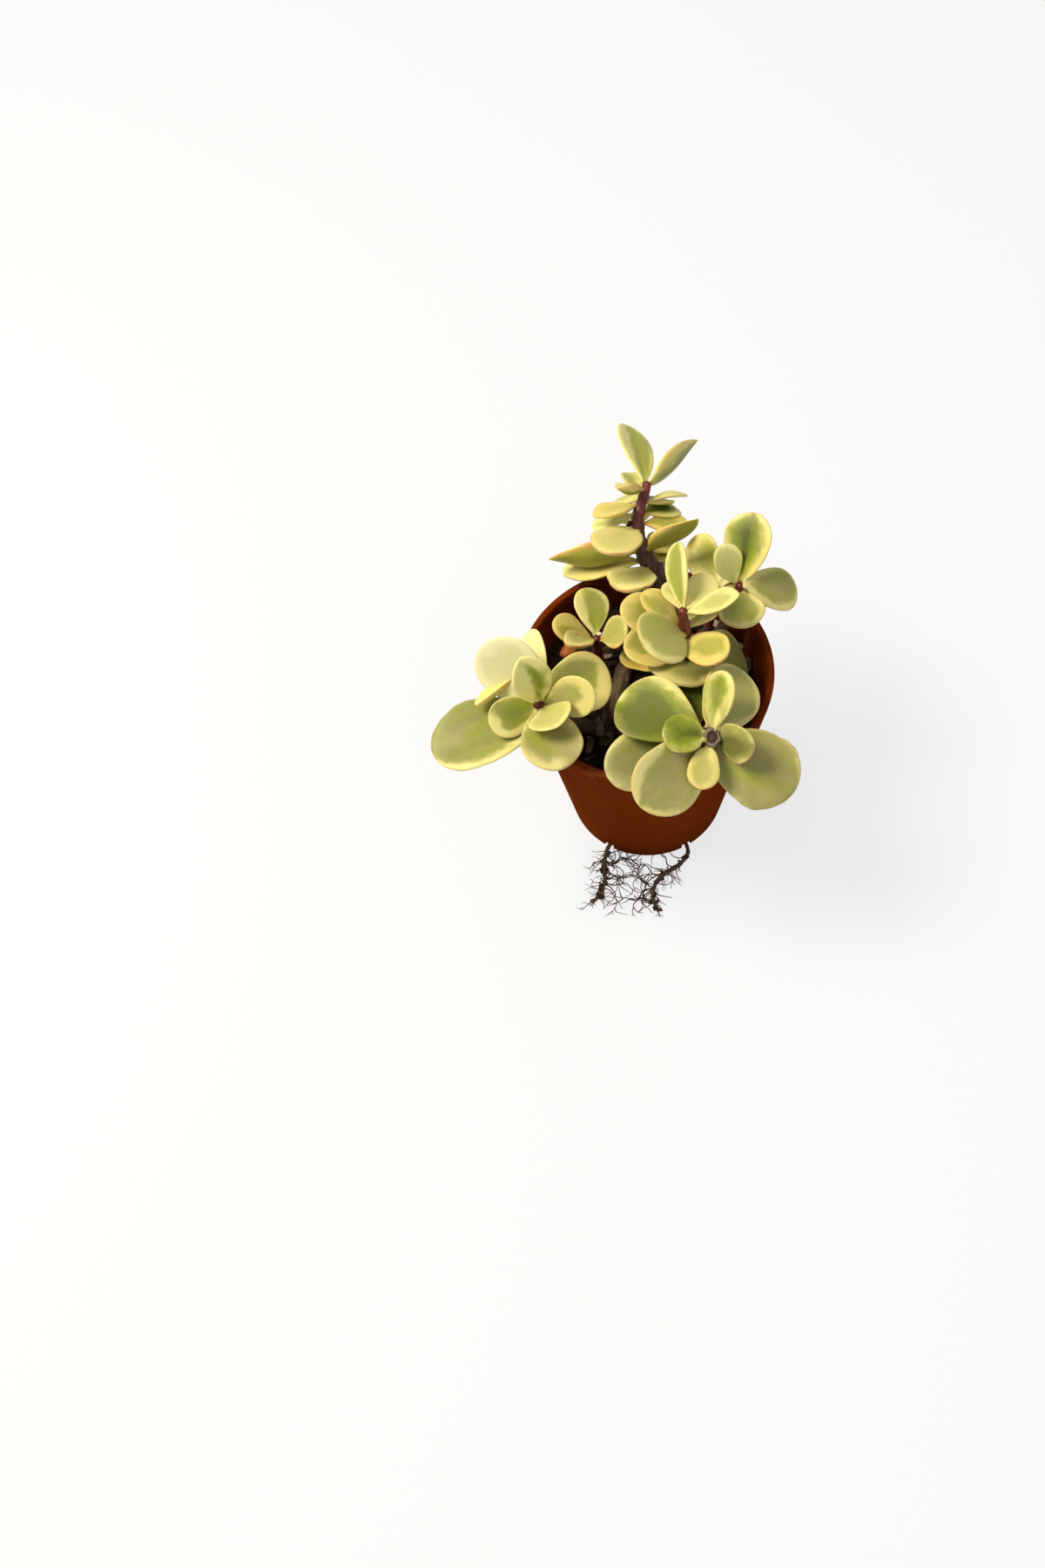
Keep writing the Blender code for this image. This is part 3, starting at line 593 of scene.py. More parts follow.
def pot_material():
    """Injection-moulded polypropylene, pigmented terracotta, its colour partly the plastic's own and
    partly painted shade: even colour, soft gloss, with a faint bloom of dried water and soil near the rim."""
    skin, tree = new_material("terracotta polypropylene")
    place = node(tree, "ShaderNodeTexCoord")
    xyz = node(tree, "ShaderNodeSeparateXYZ", {0: place.outputs["Object"]})
    film = node(tree, "ShaderNodeTexNoise", {"Vector": place.outputs["Object"], "Scale": 90.0,
                                             "Detail": 6.0, "Roughness": 0.62})
    fine = node(tree, "ShaderNodeTexNoise", {"Vector": place.outputs["Object"], "Scale": 900.0,
                                             "Detail": 3.0})
    near_rim = node(tree, "ShaderNodeMapRange", {0: xyz.outputs[2], 1: 0.050, 2: 0.069, 3: 0.0, 4: 0.5})
    dust = node(tree, "ShaderNodeMapRange", {0: film.outputs[0], 1: 0.52, 2: 0.78, 3: 0.0, 4: 1.0})
    amount = node(tree, "ShaderNodeMath", {0: near_rim.outputs[0], 1: dust.outputs[0]},
                  operation="MULTIPLY")
    # the terracotta colours are partly the plastic's own and partly painted shade, darker than the plastic
    # is; the noise gives a random tone between the two
    colour = node(tree, "ShaderNodeMix", {0: film.outputs[0], 6: rgb("622506"), 7: rgb("723009")},
                  data_type="RGBA")
    colour = node(tree, "ShaderNodeMix", {0: amount.outputs[0], 6: colour.outputs[2], 7: rgb("A9754E")},
                  data_type="RGBA")
    rough = node(tree, "ShaderNodeMapRange", {0: film.outputs[0], 1: 0.3, 2: 0.7, 3: 0.44, 4: 0.60})
    bump = node(tree, "ShaderNodeBump", {"Height": fine.outputs[0], "Strength": 0.12,
                                         "Distance": 0.0002})
    shader = node(tree, "ShaderNodeBsdfPrincipled", {
        "Base Color": colour.outputs[2], "Roughness": rough.outputs[0], "Specular IOR Level": 0.0,
        "Coat Weight": 0.01, "Coat Roughness": 0.40, "Normal": bump.outputs[0]})
    node(tree, "ShaderNodeOutputMaterial", {"Surface": shader.outputs[0]})
    return skin


# ---- the pot ---------------------------------------------------------------------------------
def wall_radius(height):
    return FOOT_RADIUS + (BODY_TOP_RADIUS - FOOT_RADIUS) * height / (POT_HEIGHT - COLLAR_HEIGHT)


def rounded(profile, reach, count=4):
    """Round every corner of a (radius, height) profile with a small arc."""
    out = [profile[0]]
    for a, b, c in zip(profile, profile[1:], profile[2:]):
        a, b, c = Vector(a), Vector(b), Vector(c)
        near = min(reach, (a - b).length * 0.45, (c - b).length * 0.45)
        start = b + (a - b).normalized() * near
        end = b + (c - b).normalized() * near
        for i in range(count + 1):
            t = i / count
            out.append(tuple(start * (1 - t) ** 2 + b * 2 * t * (1 - t) + end * t * t))
    out.append(profile[-1])
    return out


def build_pot():
    collar = POT_HEIGHT - COLLAR_HEIGHT
    profile = rounded((
        (0, 0),
        (PAD_RADIUS, 0),
        (PAD_RADIUS + 1.0, FOOT_RECESS),
        (FOOT_RADIUS - FOOT_RING - 1.0, FOOT_RECESS),
        (FOOT_RADIUS - FOOT_RING, 0),
        (FOOT_RADIUS - 0.2, 0),
        (FOOT_RADIUS + 0.1, 0.8),
        (wall_radius(MID_HEIGHT), MID_HEIGHT),
        (wall_radius(collar), collar - 0.6),
        (COLLAR_BOTTOM_RADIUS, collar - 0.4),
        (RIM_RADIUS - 0.1, POT_HEIGHT - 1.6),
        (RIM_RADIUS, POT_HEIGHT),
        (RIM_RADIUS - LIP_WIDTH, POT_HEIGHT),
        (RIM_RADIUS - LIP_WIDTH - 0.5, POT_HEIGHT - 1.2),
        (wall_radius(collar) - WALL, collar),
        (wall_radius(MID_HEIGHT) - WALL, MID_HEIGHT),
        (wall_radius(FLOOR_TOP) - WALL, FLOOR_TOP),
        (0, FLOOR_TOP),
    ), CORNER_ROUND)
    points, rings = [], []
    for radius, height in profile:
        if radius < 1e-6:
            rings.append([len(points)] * POT_SEGMENTS)
            points.append((0, 0, height))
            continue
        rings.append([len(points) + k for k in range(POT_SEGMENTS)])
        points += [(x, y, height) for x, y in circle(radius, POT_SEGMENTS)]
    faces = []
    for lower, upper in zip(rings, rings[1:]):
        for k in range(POT_SEGMENTS):
            nxt = (k + 1) % POT_SEGMENTS
            face = tuple(dict.fromkeys((lower[k], lower[nxt], upper[nxt], upper[k])))
            if len(face) > 2:
                faces.append(face)
    pot = add_piece("pot", points, faces, pot_material(), nodes=["nursery_pot"])

    boxes = bmesh.new()
    length, width, height = SLOT_SIZE
    for index in range(SLOT_COUNT):
        angle = math.tau * (index + 0.5) / SLOT_COUNT - math.pi / 2
        place = Matrix.Rotation(angle, 4, "Z") @ Matrix.Translation(
            Vector((FOOT_RADIUS - 1.2, 0, height / 2 - 0.7)) * MM)
        bmesh.ops.create_cube(boxes, size=1.0,
                              matrix=place @ Matrix.Diagonal((length * MM, width * MM, height * MM, 1)))
    mesh = bpy.data.meshes.new("slot cutters")
    boxes.to_mesh(mesh)
    boxes.free()
    cutter = bpy.data.objects.new("slot cutters", mesh)
    bpy.context.collection.objects.link(cutter)
    boolean = pot.modifiers.new("drainage slots", "BOOLEAN")
    boolean.operation = "DIFFERENCE"
    boolean.solver = "EXACT"
    boolean.object = cutter
    cut_mesh = bpy.data.meshes.new_from_object(pot.evaluated_get(bpy.context.evaluated_depsgraph_get()))
    pot.modifiers.clear()
    pot.data = cut_mesh
    bpy.data.objects.remove(cutter, do_unlink=True)
    cut_mesh.shade_smooth()
    cut_mesh.set_sharp_from_angle(angle=math.radians(SHARP_ANGLE))


# ---- the potting mix -------------------------------------------------------------------------
def soil_height(x, y):
    lumps = (0.55 * math.sin(0.43 * x + 0.9) * math.cos(0.37 * y - 0.4)
             + 0.35 * math.sin(0.91 * x - 0.3 * y) + 0.25 * math.cos(0.23 * x + 1.1 * y + 2.0))
    return SOIL_LEVEL + 0.6 * lumps - 0.0009 * (x * x + y * y)


def rough_soil(x, y):
    grit = noise.fractal(Vector((x * 0.35, y * 0.35, 4.0)), 0.7, 2.1, 5)
    return soil_height(x, y) + 0.55 * grit


def build_soil():
    mix = ramp_material("moist peat and bark potting mix", "Object", 700.0,
                        ((0.30, "120A06"), (0.50, "2A1A10"), (0.66, "4A3220"), (0.80, "6E5234")),
                        0.95, 0.8, 0.6, 8.0)
    sides = SOIL_SIDES
    edge = wall_radius(SOIL_LEVEL) - WALL - 0.06
    points = [(0, 0, rough_soil(0, 0))]
    for ring in range(1, SOIL_RINGS + 1):
        points += [(x, y, rough_soil(x, y)) for x, y in circle(edge * (ring / SOIL_RINGS), sides)]
    for height in SOIL_WALL_HEIGHTS:
        points += [(x, y, height) for x, y in circle(wall_radius(height) - WALL - 0.25, sides)]
    points.append((0, 0, SOIL_BOTTOM))
    last = len(points) - 1
    rings = SOIL_RINGS + len(SOIL_WALL_HEIGHTS)
    faces = []
    for k in range(sides):
        nxt = (k + 1) % sides
        faces.append((0, 1 + k, 1 + nxt))
        for ring in range(rings - 1):
            low = 1 + ring * sides
            faces.append((low + k, low + sides + k, low + sides + nxt, low + nxt))
        end = 1 + (rings - 1) * sides
        faces.append((end + k, last, end + nxt))
    add_piece("potting_mix", points, faces, mix, nodes=["potting_mix"])


def scatter(rng, clear=0.5):
    """A random place on the potting mix, inside the wall."""
    radius = (wall_radius(SOIL_LEVEL) - WALL - clear) * math.sqrt(rng.random())
    angle = rng.random() * math.tau
    return radius * math.cos(angle), radius * math.sin(angle)


def lump(rng, centre, size, spin, fineness=1, jagged=0.55):
    """A small broken crumb: a ball pushed about, as points and faces."""
    build = bmesh.new()
    bmesh.ops.create_icosphere(build, subdivisions=fineness, radius=1.0)
    shift = Vector((rng.random(), rng.random(), rng.random())) * 40
    points = []
    for vert in build.verts:
        p = vert.co * (1 + jagged * noise.noise(vert.co * 1.3 + shift))
        p = Vector((p.x * size[0], p.y * size[1], p.z * size[2]))
        points.append(spin @ p + Vector(centre))
    faces = [tuple(v.index for v in f.verts) for f in build.faces]
    build.free()
    return points, faces


def scattered_lumps(name, material, count, seed, low, high, flat, lift=0.2):
    """Many crumbs as one piece, each between two sizes in millimetres and laid on the mix."""
    rng = random.Random(seed)
    parts = []
    for _ in range(count):
        length = low + (high - low) * rng.random() ** 2
        x, y = scatter(rng, 0.5 + length * 0.6)
        size = (length / 2, length / 2 * (0.45 + 0.5 * rng.random()), length / 2 * flat)
        spin = (Matrix.Rotation(rng.random() * math.tau, 3, "Z")
                @ Matrix.Rotation((rng.random() - 0.5) * 0.9, 3, "X"))
        crumb = lump(rng, (x, y, rough_soil(x, y) + size[2] * lift), size, spin)
        parts.append(crumb + (rng.random(),))
    return add_loose(name, parts, material)


def tone_material(name, stops, roughness, bump=0.5):
    """Loose pieces that each take one colour from a ramp, mottled by a fine noise."""
    skin, tree = new_material(name)
    place = node(tree, "ShaderNodeTexCoord")
    tone = node(tree, "ShaderNodeAttribute", attribute_name="tone")
    grain = node(tree, "ShaderNodeTexNoise", {"Vector": place.outputs["Object"], "Scale": 1100.0,
                                              "Detail": 5.0})
    spread = node(tree, "ShaderNodeMath", {0: grain.outputs[0], 1: 0.5, 2: tone.outputs["Fac"]},
                  operation="MULTIPLY_ADD")
    shifted = node(tree, "ShaderNodeMath", {0: spread.outputs[0], 1: 0.25}, operation="SUBTRACT")
    height = node(tree, "ShaderNodeBump", {"Height": grain.outputs[0], "Strength": bump,
                                           "Distance": 0.0003})
    shader = node(tree, "ShaderNodeBsdfPrincipled", {
        "Base Color": colour_ramp(tree, shifted.outputs[0], stops), "Roughness": roughness,
        "Specular IOR Level": 0.25,
        "Normal": height.outputs[0]})
    node(tree, "ShaderNodeOutputMaterial", {"Surface": shader.outputs[0]})
    return skin


def curled_strip(rng, centre, heading, length, width, turn):
    """A thin strip of dried bark or leaf that rolls up along its length.  Its rings run clockwise,
    so its faces point inwards."""
    steps, sides = 12, 5
    spin = Matrix.Rotation(math.radians(heading), 3, "Z") @ Matrix.Rotation(rng.uniform(-0.5, 0.5), 3, "X")
    points = []
    x = z = angle = 0.0
    for i in range(steps + 1):
        share = i / steps
        half = width / 2 * (0.35 + 0.65 * math.sin(math.pi * min(share * 0.8 + 0.15, 1.0)))
        normal = Vector((-math.sin(angle), 0, math.cos(angle)))
        for face in (1, -1):
            for k in range(sides):
                across = (k / (sides - 1) * 2 - 1) * face
                lift = 0.16 * width * across * across + 0.10 * width * math.sin(9 * share + 3 * across)
                points.append(spin @ (Vector((x, across * half, z)) + normal * (lift + 0.14 * face))
                              + Vector(centre))
        angle += turn / steps * (0.4 + 1.2 * share)
        x += length / steps * math.cos(angle)
        z += length / steps * math.sin(angle)
    return points, ring_faces(steps + 1, sides * 2)


def joined(parts):
    """Join (points, faces, tone) groups into one list of each."""
    points, faces, tone = [], [], []
    for new_points, new_faces, shade in parts:
        start = len(points)
        points += new_points
        faces += [tuple(start + i for i in face) for face in new_faces]
        tone += [shade] * len(new_points)
    return points, faces, tone


def add_loose(name, parts, material):
    points, faces, tone = joined(parts)
    return add_piece(name, points, faces, material, {"tone": tone})


def build_litter():
    """Loose stuff on the potting mix, and the dead bud scales on the leader."""
    crumbs = tone_material("peat crumbs", ((0.0, "0A0603"), (0.55, "22150D"), (0.85, "46301B"),
                                           (1.0, "80623E")), 0.95)
    bark = tone_material("composted bark chips", ((0.0, "140B07"), (0.5, "301E12"), (0.85, "543A24"),
                                                  (1.0, "8A6C48")), 0.85)
    dried = tone_material("dried curled bark", ((0.0, "241B14"), (0.45, "54463A"), (0.8, "857258"),
                                                (1.0, "A08D6C")), 0.80)
    scattered_lumps("peat_crumbs", crumbs, 1300, 5, 0.6, 2.2, 0.40)
    scattered_lumps("bark_chips", bark, 150, 8, 1.6, 5.0, 0.18, 0.6)
    rng = random.Random(21)
    strips = [curled_strip(rng, (x, y, soil_height(x, y) + 0.9), heading, length, width, turn) + (shade,)
              for x, y, heading, length, width, turn, shade in (
                  (-14.0, -9.5, -60, 9.0, 3.2, 3.0, 0.60), (-11.0, -12.5, -100, 10.0, 3.0, 3.4, 0.65),
                  (-8.6, -12.0, 20, 10.5, 3.6, 2.2, 0.50), (-12.8, -16.5, -20, 9.5, 2.8, 3.0, 0.55),
                  (-16.2, -20.0, 60, 7.0, 2.2, 2.6, 0.65), (-6.0, -17.0, 100, 8.0, 3.0, 2.0, 0.5),
                  (27.0, 3.5, 80, 6.5, 3.0, 1.6, 0.7), (28.3, -4.0, 110, 6.0, 2.6, 1.8, 0.6))]
    for _ in range(22):
        x, y = scatter(rng, 5.0)
        strips.append(curled_strip(rng, (x, y, soil_height(x, y) + 0.7), rng.uniform(0, 360),
                                   rng.uniform(3.5, 7.0), rng.uniform(1.2, 2.8), rng.uniform(1.0, 3.6))
                      + (rng.uniform(0.1, 0.8),))
    add_loose("dried_bark_curls", strips, dried)

    def stones(places, size, shade, jagged=0.4):
        return [lump(rng, (x, y, z), (size * 0.55, size * 0.42, size * 0.38),
                     Matrix.Rotation(rng.uniform(0, 6), 3, "Z"), 3, jagged) + (shade,)
                for x, y, z in places]

    husk = tone_material("dry seed husk", ((0.0, "6A3312"), (0.6, "A85F26"), (1.0, "C98643")), 0.55)
    add_loose("seed_husk", stones([(-21.6, 13.0, soil_height(-21.6, 13.0) + 1.3)], 4.8, 0.5, 0.15), husk)
    pumice = tone_material("pumice grit", ((0.0, "8A7C62"), (0.6, "C9BE9F"), (1.0, "F0EAD2")), 0.9)
    grit = [(27.3, 14.4), (-4.0, -21.5), (20.5, 22.0), (-25.0, 2.5), (3.5, 24.0)]
    add_loose("pumice_grit", stones([(x, y, soil_height(x, y) + 0.6) for x, y in grit], 2.4, 0.45)
              + stones([(-12.5, 10.5, 71.3)], 1.3, 0.9), pumice)
    buds = [(-3.2 + rng.uniform(-0.9, 0.6), 37.6 + rng.uniform(-0.8, 0.8), 83.6 + rng.uniform(-1, 1.2))
            for _ in range(9)]
    dead = tone_material("dead bud scales", ((0.0, "1A0F0A"), (0.6, "3F291B"), (1.0, "6D5138")), 0.85)
    add_loose("dead_buds", stones(buds, 1.5, 0.5), dead)


# ---- stems and roots -------------------------------------------------------------------------
def build_rod(name, path, material, nodes, bark_end, joints=(), sides=28, step=0.45, rough=0.10,
              fibre=0.4, blunt=0.6):
    """A stem or root with swollen joints, wrinkled bark and a rounded end."""
    fine = smooth_path(path, step)
    lengths = [0.0]
    for a, b in zip(fine, fine[1:]):
        lengths.append(lengths[-1] + (b.xyz - a.xyz).length)
    start = (Vector(path[1][:3]) - Vector(path[0][:3])).length if joints else 0.0
    total = lengths[-1] - start
    points, age, place = [], [], []
    side = Vector((1.0, 0.2, 0.1))
    count = len(fine)
    for i, p in enumerate(fine):
        along = (fine[min(i + 1, count - 1)].xyz - fine[max(i - 1, 0)].xyz).normalized()
        side = (side - along * side.dot(along)).normalized()
        other = along.cross(side)
        share = (lengths[i] - start) / total
        radius = p[3]
        for joint in joints:
            away = (share - joint) * total
            radius += 0.16 * p[3] * math.exp(-(away / 0.8) ** 2)
            radius -= 0.07 * p[3] * math.exp(-((away - 1.1) / 0.3) ** 2)
        woody = smooth_step(bark_end + 0.06, bark_end - 0.06, share)
        end = min((lengths[-1] - lengths[i]) / max(p[3] * blunt, 0.01), 1.0)
        radius *= math.sqrt(max(1 - (1 - end) ** 2, 0.02))
        for k in range(sides):
            angle = math.tau * k / sides
            out = math.cos(angle) * side + math.sin(angle) * other
            at = p.xyz + out * radius
            wrinkle = noise.fractal(Vector((at.x * 0.9, at.y * 0.9, at.z * 0.9)), 0.8, 2.0, 4)
            ringing = 0.5 * math.sin(lengths[i] * 4.2 + 2 * noise.noise(at * 0.4))
            push = p[3] * rough * (wrinkle + 0.45 * ringing) * (0.25 + 0.75 * woody)
            points.append(at + out * push)
            age.append(woody)
            place.append((angle * p[3], lengths[i] * fibre, float(len(name))))
    attributes = {"age": age, "place": place}
    add_piece(name, points, ring_faces(count, sides), material, attributes, nodes)


ROOT_REACH = -43.8           # the fine roots stay this near the pot


def rootlet(rng, start, heading, length, radius, parts):
    """A fine root that wanders over the ground from a start point and branches."""
    here = Vector(start)
    sides = 6
    points = []
    steps = max(4, round(length / 0.6))
    sway = rng.uniform(-0.5, 0.5)
    for i in range(steps + 1):
        share = i / steps
        along = Vector((math.cos(heading), math.sin(heading), 0))
        side = Vector((-along.y, along.x, 0))
        thick = radius * (1 - 0.6 * share)
        for k in range(sides):
            turn = math.tau * k / sides
            points.append(here + side * (thick * math.cos(turn)) + Vector((0, 0, thick * math.sin(turn))))
        here = here + along * (length / steps)
        here.z = min(max(here.z + rng.uniform(-0.30, 0.32), radius + 0.05), 3.2)
        here.y = max(here.y, ROOT_REACH)
        heading += rng.uniform(-0.50, 0.50) + sway * 0.25
        if radius > 0.14 and rng.random() < 0.16 and 2 < i < steps - 2:
            rootlet(rng, here, heading + rng.choice((-1, 1)) * rng.uniform(0.5, 1.1),
                    length * rng.uniform(0.25, 0.5), radius * 0.65, parts)
    parts.append((points, ring_faces(steps + 1, sides), rng.uniform(0.2, 0.8)))


def build_roots():
    root = wood_material("weathered root wood", ("271A0F", "8E7450"), ("271A0F", "8E7450"))
    build_rod("surface_root", SURFACE_ROOT, root, ["surface_root"], 2.0, rough=0.22, fibre=0.10)
    dark_root = wood_material("dark live root", ("20130C", "57402B"), ("20130C", "57402B"))
    skin = tone_material("fine roots", ((0.0, "1A0F09"), (0.5, "332013"), (1.0, "5E442C")), 0.85)
    rng = random.Random(12)
    fine, crumbs = [], []
    for name, path in DRAIN_ROOTS.items():
        build_rod(name, path, dark_root, [name], 2.0, sides=16, rough=0.25, fibre=0.2)
        main = smooth_path(path, 0.5)
        inward = 0.0 if path[-1][0] < 0 else math.pi
        for number in range(40):
            at = main[int(len(main) * rng.uniform(0.18, 0.97))]
            if number < 12:          # the longer ones cross to the other root and tangle
                rootlet(rng, at.xyz, inward + rng.uniform(-0.6, 0.6), rng.uniform(8, 15),
                        rng.uniform(0.20, 0.32), fine)
            else:
                rootlet(rng, at.xyz, rng.uniform(-2.9, -0.25), rng.uniform(2.5, 7.0),
                        rng.uniform(0.13, 0.25), fine)
        for _ in range(40):
            at = main[int(len(main) * rng.uniform(0.25, 0.99))]
            size = rng.uniform(0.3, 1.0)
            centre = (at.x + rng.uniform(-1, 1), at.y + rng.uniform(-1, 1), at.z + rng.uniform(-0.1, 0.6))
            crumbs.append(lump(rng, centre, (size, size * 0.7, min(size * 0.6, centre[2])),
                               Matrix.Rotation(rng.uniform(0, 6), 3, "Z")) + (rng.random(),))
    add_loose("fine_roots", fine, skin)
    add_loose("root_crumbs", crumbs, skin)


def build_stub(path):
    """The dried cut end of a stem: a pale ring of bark round a dark hollow pith."""
    wood = tone_material("dry cut end", ((0.0, "1C1210"), (0.5, "4C3A30"), (1.0, "94806A")), 0.85)
    end, radius, along = stem_at(path, 1.0)
    side = along.orthogonal().normalized()
    other = along.cross(side)
    profile = ((1.04, -1.6, 0.35), (1.10, -0.4, 0.45), (1.02, 0.25, 0.8), (0.84, 0.40, 0.95),
               (0.66, 0.12, 0.7), (0.54, -0.45, 0.15), (0.34, -0.30, 0.3), (0.22, -0.60, 0.05),
               (0.04, -0.65, 0.0))
    points, tone = [], []
    sides = 40
    for share, height, shade in profile:
        for k in range(sides):
            turn = math.tau * k / sides
            ragged = noise.noise(Vector((math.cos(turn) * 1.6, math.sin(turn) * 1.6, height * 2)))
            reach = radius * share * (1 + 0.13 * ragged)
            points.append(end + side * (reach * math.cos(turn)) + other * (reach * math.sin(turn))
                          + along * (height + 0.45 * ragged))
            tone.append(shade)
    add_piece("cut_stem_end", points, ring_faces(len(profile), sides), wood, {"tone": tone})


def build_stems():
    bark = wood_material("ringed bark and red young stem", ("2A1C16", "6E5342"), ("42100D", "7A2A1E"))
    for name, path in {**STEMS, **SIDE_TWIGS}.items():
        rows = LEAVES.get(name, ()) + SMALL_LEAVES.get(name, ())
        joints = sorted({round(row[0] * 12) / 12 for row in rows})
        solids = [f"{name}_stem"] if name in STEMS else []
        build_rod(f"{name}_stem", path, bark, solids, BARK_END[name], joints,
                  rough=0.06, blunt=0.25 if name == "front_right" else 0.6)
    build_stub(STEMS["front_right"][1:])


# ---- leaves ----------------------------------------------------------------------------------
def leaf_frame(heading, rise, roll):
    h, p, r = (math.radians(a) for a in (heading, rise, roll))
    along = Vector((math.cos(h) * math.cos(p), math.sin(h) * math.cos(p), math.sin(p)))
    level = Vector((math.sin(h), -math.cos(h), 0.0))
    up = level.cross(along)
    across = level * math.cos(r) + along.cross(level) * math.sin(r)
    out = up * math.cos(r) + along.cross(up) * math.sin(r)
    return along, across, out


def leaf_half_width(u, tip=0.0, full=0.0, widest=LEAF_WIDEST):
    """Half width at a share of the length, as a share of the widest.  tip 1 draws the end to a
    point, and full 1 makes a rounder leaf with a broad foot."""
    foot = LEAF_BASE_WIDTH * (1 + 0.6 * full)
    if u <= 0:
        return foot
    if u < widest:
        swell = math.sin(math.pi / 2 * u / widest) ** (1.0 - 0.30 * full)
        return foot + (1 - foot) * swell
    fall = min((u - widest) / (1 - widest), 1.0)
    return max(1 - fall * fall, 0.0) ** (0.5 + 0.45 * tip)


def leaf_looks(look, extra):
    """The looks of the top and the underside; a row's own values change the top alone."""
    top, under = list(LOOKS[look]), list(LOOKS[extra.get("under", look)])
    for place_in_look, key in ((0, "edge"), (3, "strength"), (4, "tone"), (5, "gold"), (6, "dark")):
        top[place_in_look] = extra.get(key, top[place_in_look])
    return top, under


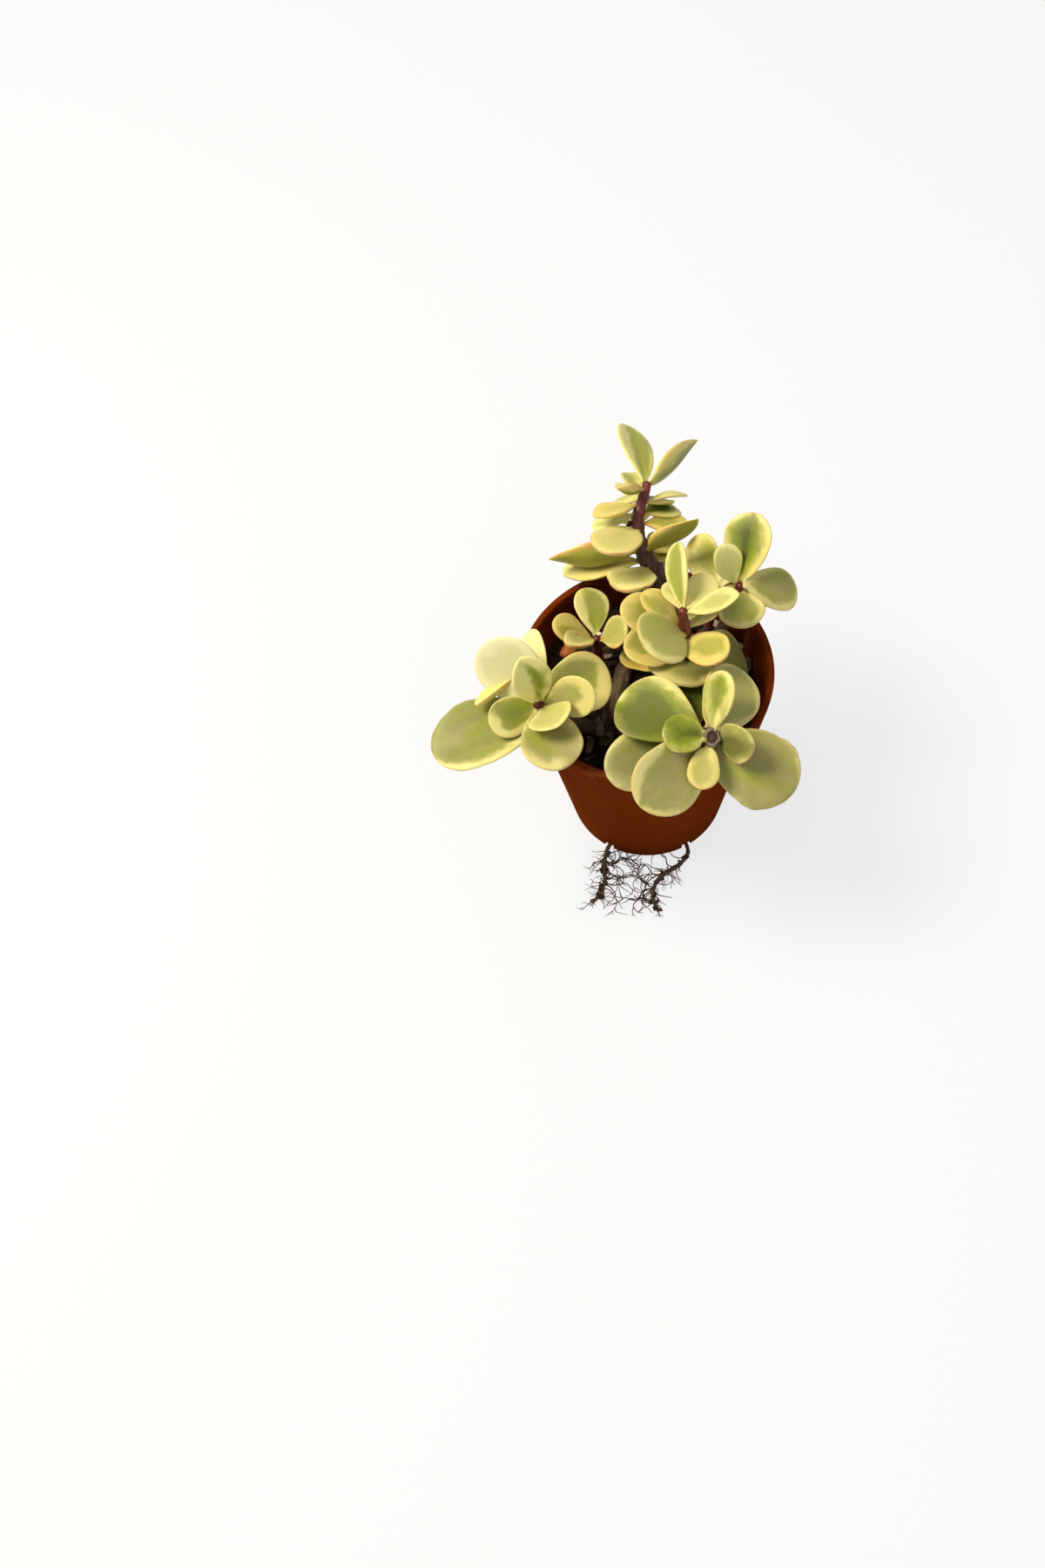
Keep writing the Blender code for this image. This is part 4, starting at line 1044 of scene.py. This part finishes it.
def build_leaf(name, path, row, material, nodes, seed):
    """One fleshy blade.  Its rings run clockwise, so its faces point inwards."""
    share, heading, rise, roll, length, width, cup, bend, look, extra = row
    lean, fold, tip, full = (extra.get(key, 0.0) for key in ("lean", "fold", "tip", "full"))
    blush, waves, spots = (extra.get(key, low) for key, low in
                           (("blush", 0.15), ("waves", 0.15), ("spots", 0.0)))
    flesh, side_shift = extra.get("flesh", 1.15), extra.get("side", 0.0)
    widest, teeth = extra.get("widest", LEAF_WIDEST), TOOTH_DEPTH * extra.get("teeth", 0.0)
    top_look, under_look = leaf_looks(look, extra)
    rng = random.Random(seed)
    tune = [rng.uniform(0, math.tau) for _ in range(6)]
    along, across, out = leaf_frame(heading, rise, roll)
    centre, radius, stem_dir = stem_at(path, share)
    flat, _, _ = leaf_frame(heading, rise, 0)
    away = (flat - stem_dir * flat.dot(stem_dir)).normalized()
    base = centre + away * (radius + LEAF_OFFSET)
    thickness = LEAF_THIN + LEAF_FLESHY * width

    def outline(u, side):
        edge = leaf_half_width(u, tip, full, widest)
        ripple = 0.020 * math.sin(5 * u + tune[0] + side) + 0.012 * math.sin(11 * u + tune[1] * side)
        ripple += waves * 0.035 * math.sin(15 * u + tune[2] * side) * smooth_step(0.3, 0.7, u)
        ripple += teeth * (abs(math.sin(23 * u + tune[4] * side)) - 0.6) * smooth_step(0.25, 0.5, u)
        return edge * (1 + ripple)

    # stations close up towards the tip, where the outline turns fastest
    stations = [-(LEAF_OFFSET + 0.5) / length]
    stations += [1 - (1 - i / (LEAF_RINGS - 1)) ** LEAF_CROWDING for i in range(LEAF_RINGS - 1)]
    points, place, rims, tissue, margin = [], [], [], [], []
    for u in stations:
        half = leaf_half_width(u, tip, full, widest)
        slope = (leaf_half_width(min(u + 0.01, 1), tip, full, widest)
                 - leaf_half_width(u - 0.01, tip, full, widest)) / 0.02
        square = 1 / math.hypot(1, slope * width / 2 / length)
        thick = thickness * max(half, 0.03) ** 0.55 / 2
        thick *= 1 - 0.7 * min(tip, 1) * smooth_step(0.45, 1.0, u)
        for k in range(LEAF_ROUND):
            angle = math.tau * k / LEAF_ROUND
            v, face = (math.copysign(abs(c) ** LEAF_SECTION, c)
                       for c in (math.cos(angle), math.sin(angle)))
            x = v * outline(u, 1 if v > 0 else -1)
            lift = cup * width * x * x + bend * length * max(u, 0) ** 2
            lift += fold * width * (math.hypot(x, 0.10) - 0.10) * smooth_step(0, 0.15, u)
            lift += (0.022 * waves * width * math.sin(9 * u + 2 * x + tune[3]) * abs(v) ** 2
                     * smooth_step(0.2, 0.7, u))
            lift -= 0.03 * width * math.exp(-(x / 0.12) ** 2) * smooth_step(0.8, 0.1, u)
            depth = face * thick * (1 if face > 0 else 1 + 1.6 * (flesh - 1))
            points.append(base + along * (u * length) + across * (x * width / 2) + out * (lift + depth))
            shows = top_look if face >= 0 else under_look
            from_edge = min((1 - abs(v)) * half * width / 2 * square, (1 - u) * length) + 0.35 * abs(face)
            wander = GREEN_WANDER * noise.noise(Vector((v * 1.1, u * 1.6, seed * 3.1)))
            wander += side_shift * v if face > 0 else 0
            wander -= extra.get("far", 0.0) * max(u, 0)
            strip = (shows[1] - abs(v - lean)) * half * width / 2 * 1.2
            inside = min((from_edge + wander - shows[0]) / shows[2], extra.get("full_green", 9.0))
            tissue.append((min(inside, strip / shows[2] + 0.5) + 0.4, shows[3], shows[4]))
            margin.append((shows[5], blush, shows[6]))
            rims.append(from_edge + (NO_BLUSH if v * extra.get("pink_side", 0) < 0 else 0.0))
            place.append((x * width / 2, u * length * 0.55, seed * 9.7 + (0 if face >= 0 else 4)))
    top = len(points)
    points.append(base + along * length + out * (bend * length))
    for values in (place, rims, tissue, margin):
        values.append(values[-1])
    faces = ring_faces(len(stations), LEAF_ROUND, True, False)
    last = top - LEAF_ROUND
    faces += [(last + k, last + (k + 1) % LEAF_ROUND, top) for k in range(LEAF_ROUND)]
    if spots:
        for i, here in enumerate(place):
            spot = noise.noise(Vector(here) * 0.55 + Vector((tune[4], tune[5], 0)))
            if spot > SPOT_LEVEL:
                margin[i] = (1.0, 1.0, margin[i][2])
                rims[i] = min(rims[i], 0.3)
    attributes = {"place": place, "rim": rims, "tissue": tissue, "margin": margin}
    add_piece(name, points, faces, material, attributes, nodes)


def build_leaves():
    skin = leaf_material()
    seed = 1
    for stem, rows in LEAVES.items():
        for number, row in enumerate(rows, 1):
            name = f"{stem}_leaf_{number:02d}"
            build_leaf(name, STEMS[stem][1:], row, skin, [name], seed)
            seed += 1
    for stem, rows in SMALL_LEAVES.items():
        for number, row in enumerate(rows, 1):
            path = STEMS[stem][1:] if stem in STEMS else SIDE_TWIGS[stem]
            build_leaf(f"{stem}_small_leaf_{number:02d}", path, row, skin, [], seed)
            seed += 1


add_camera()
add_floor()
add_light()
build_pot()
build_soil()
build_litter()
build_stems()
build_roots()
build_leaves()
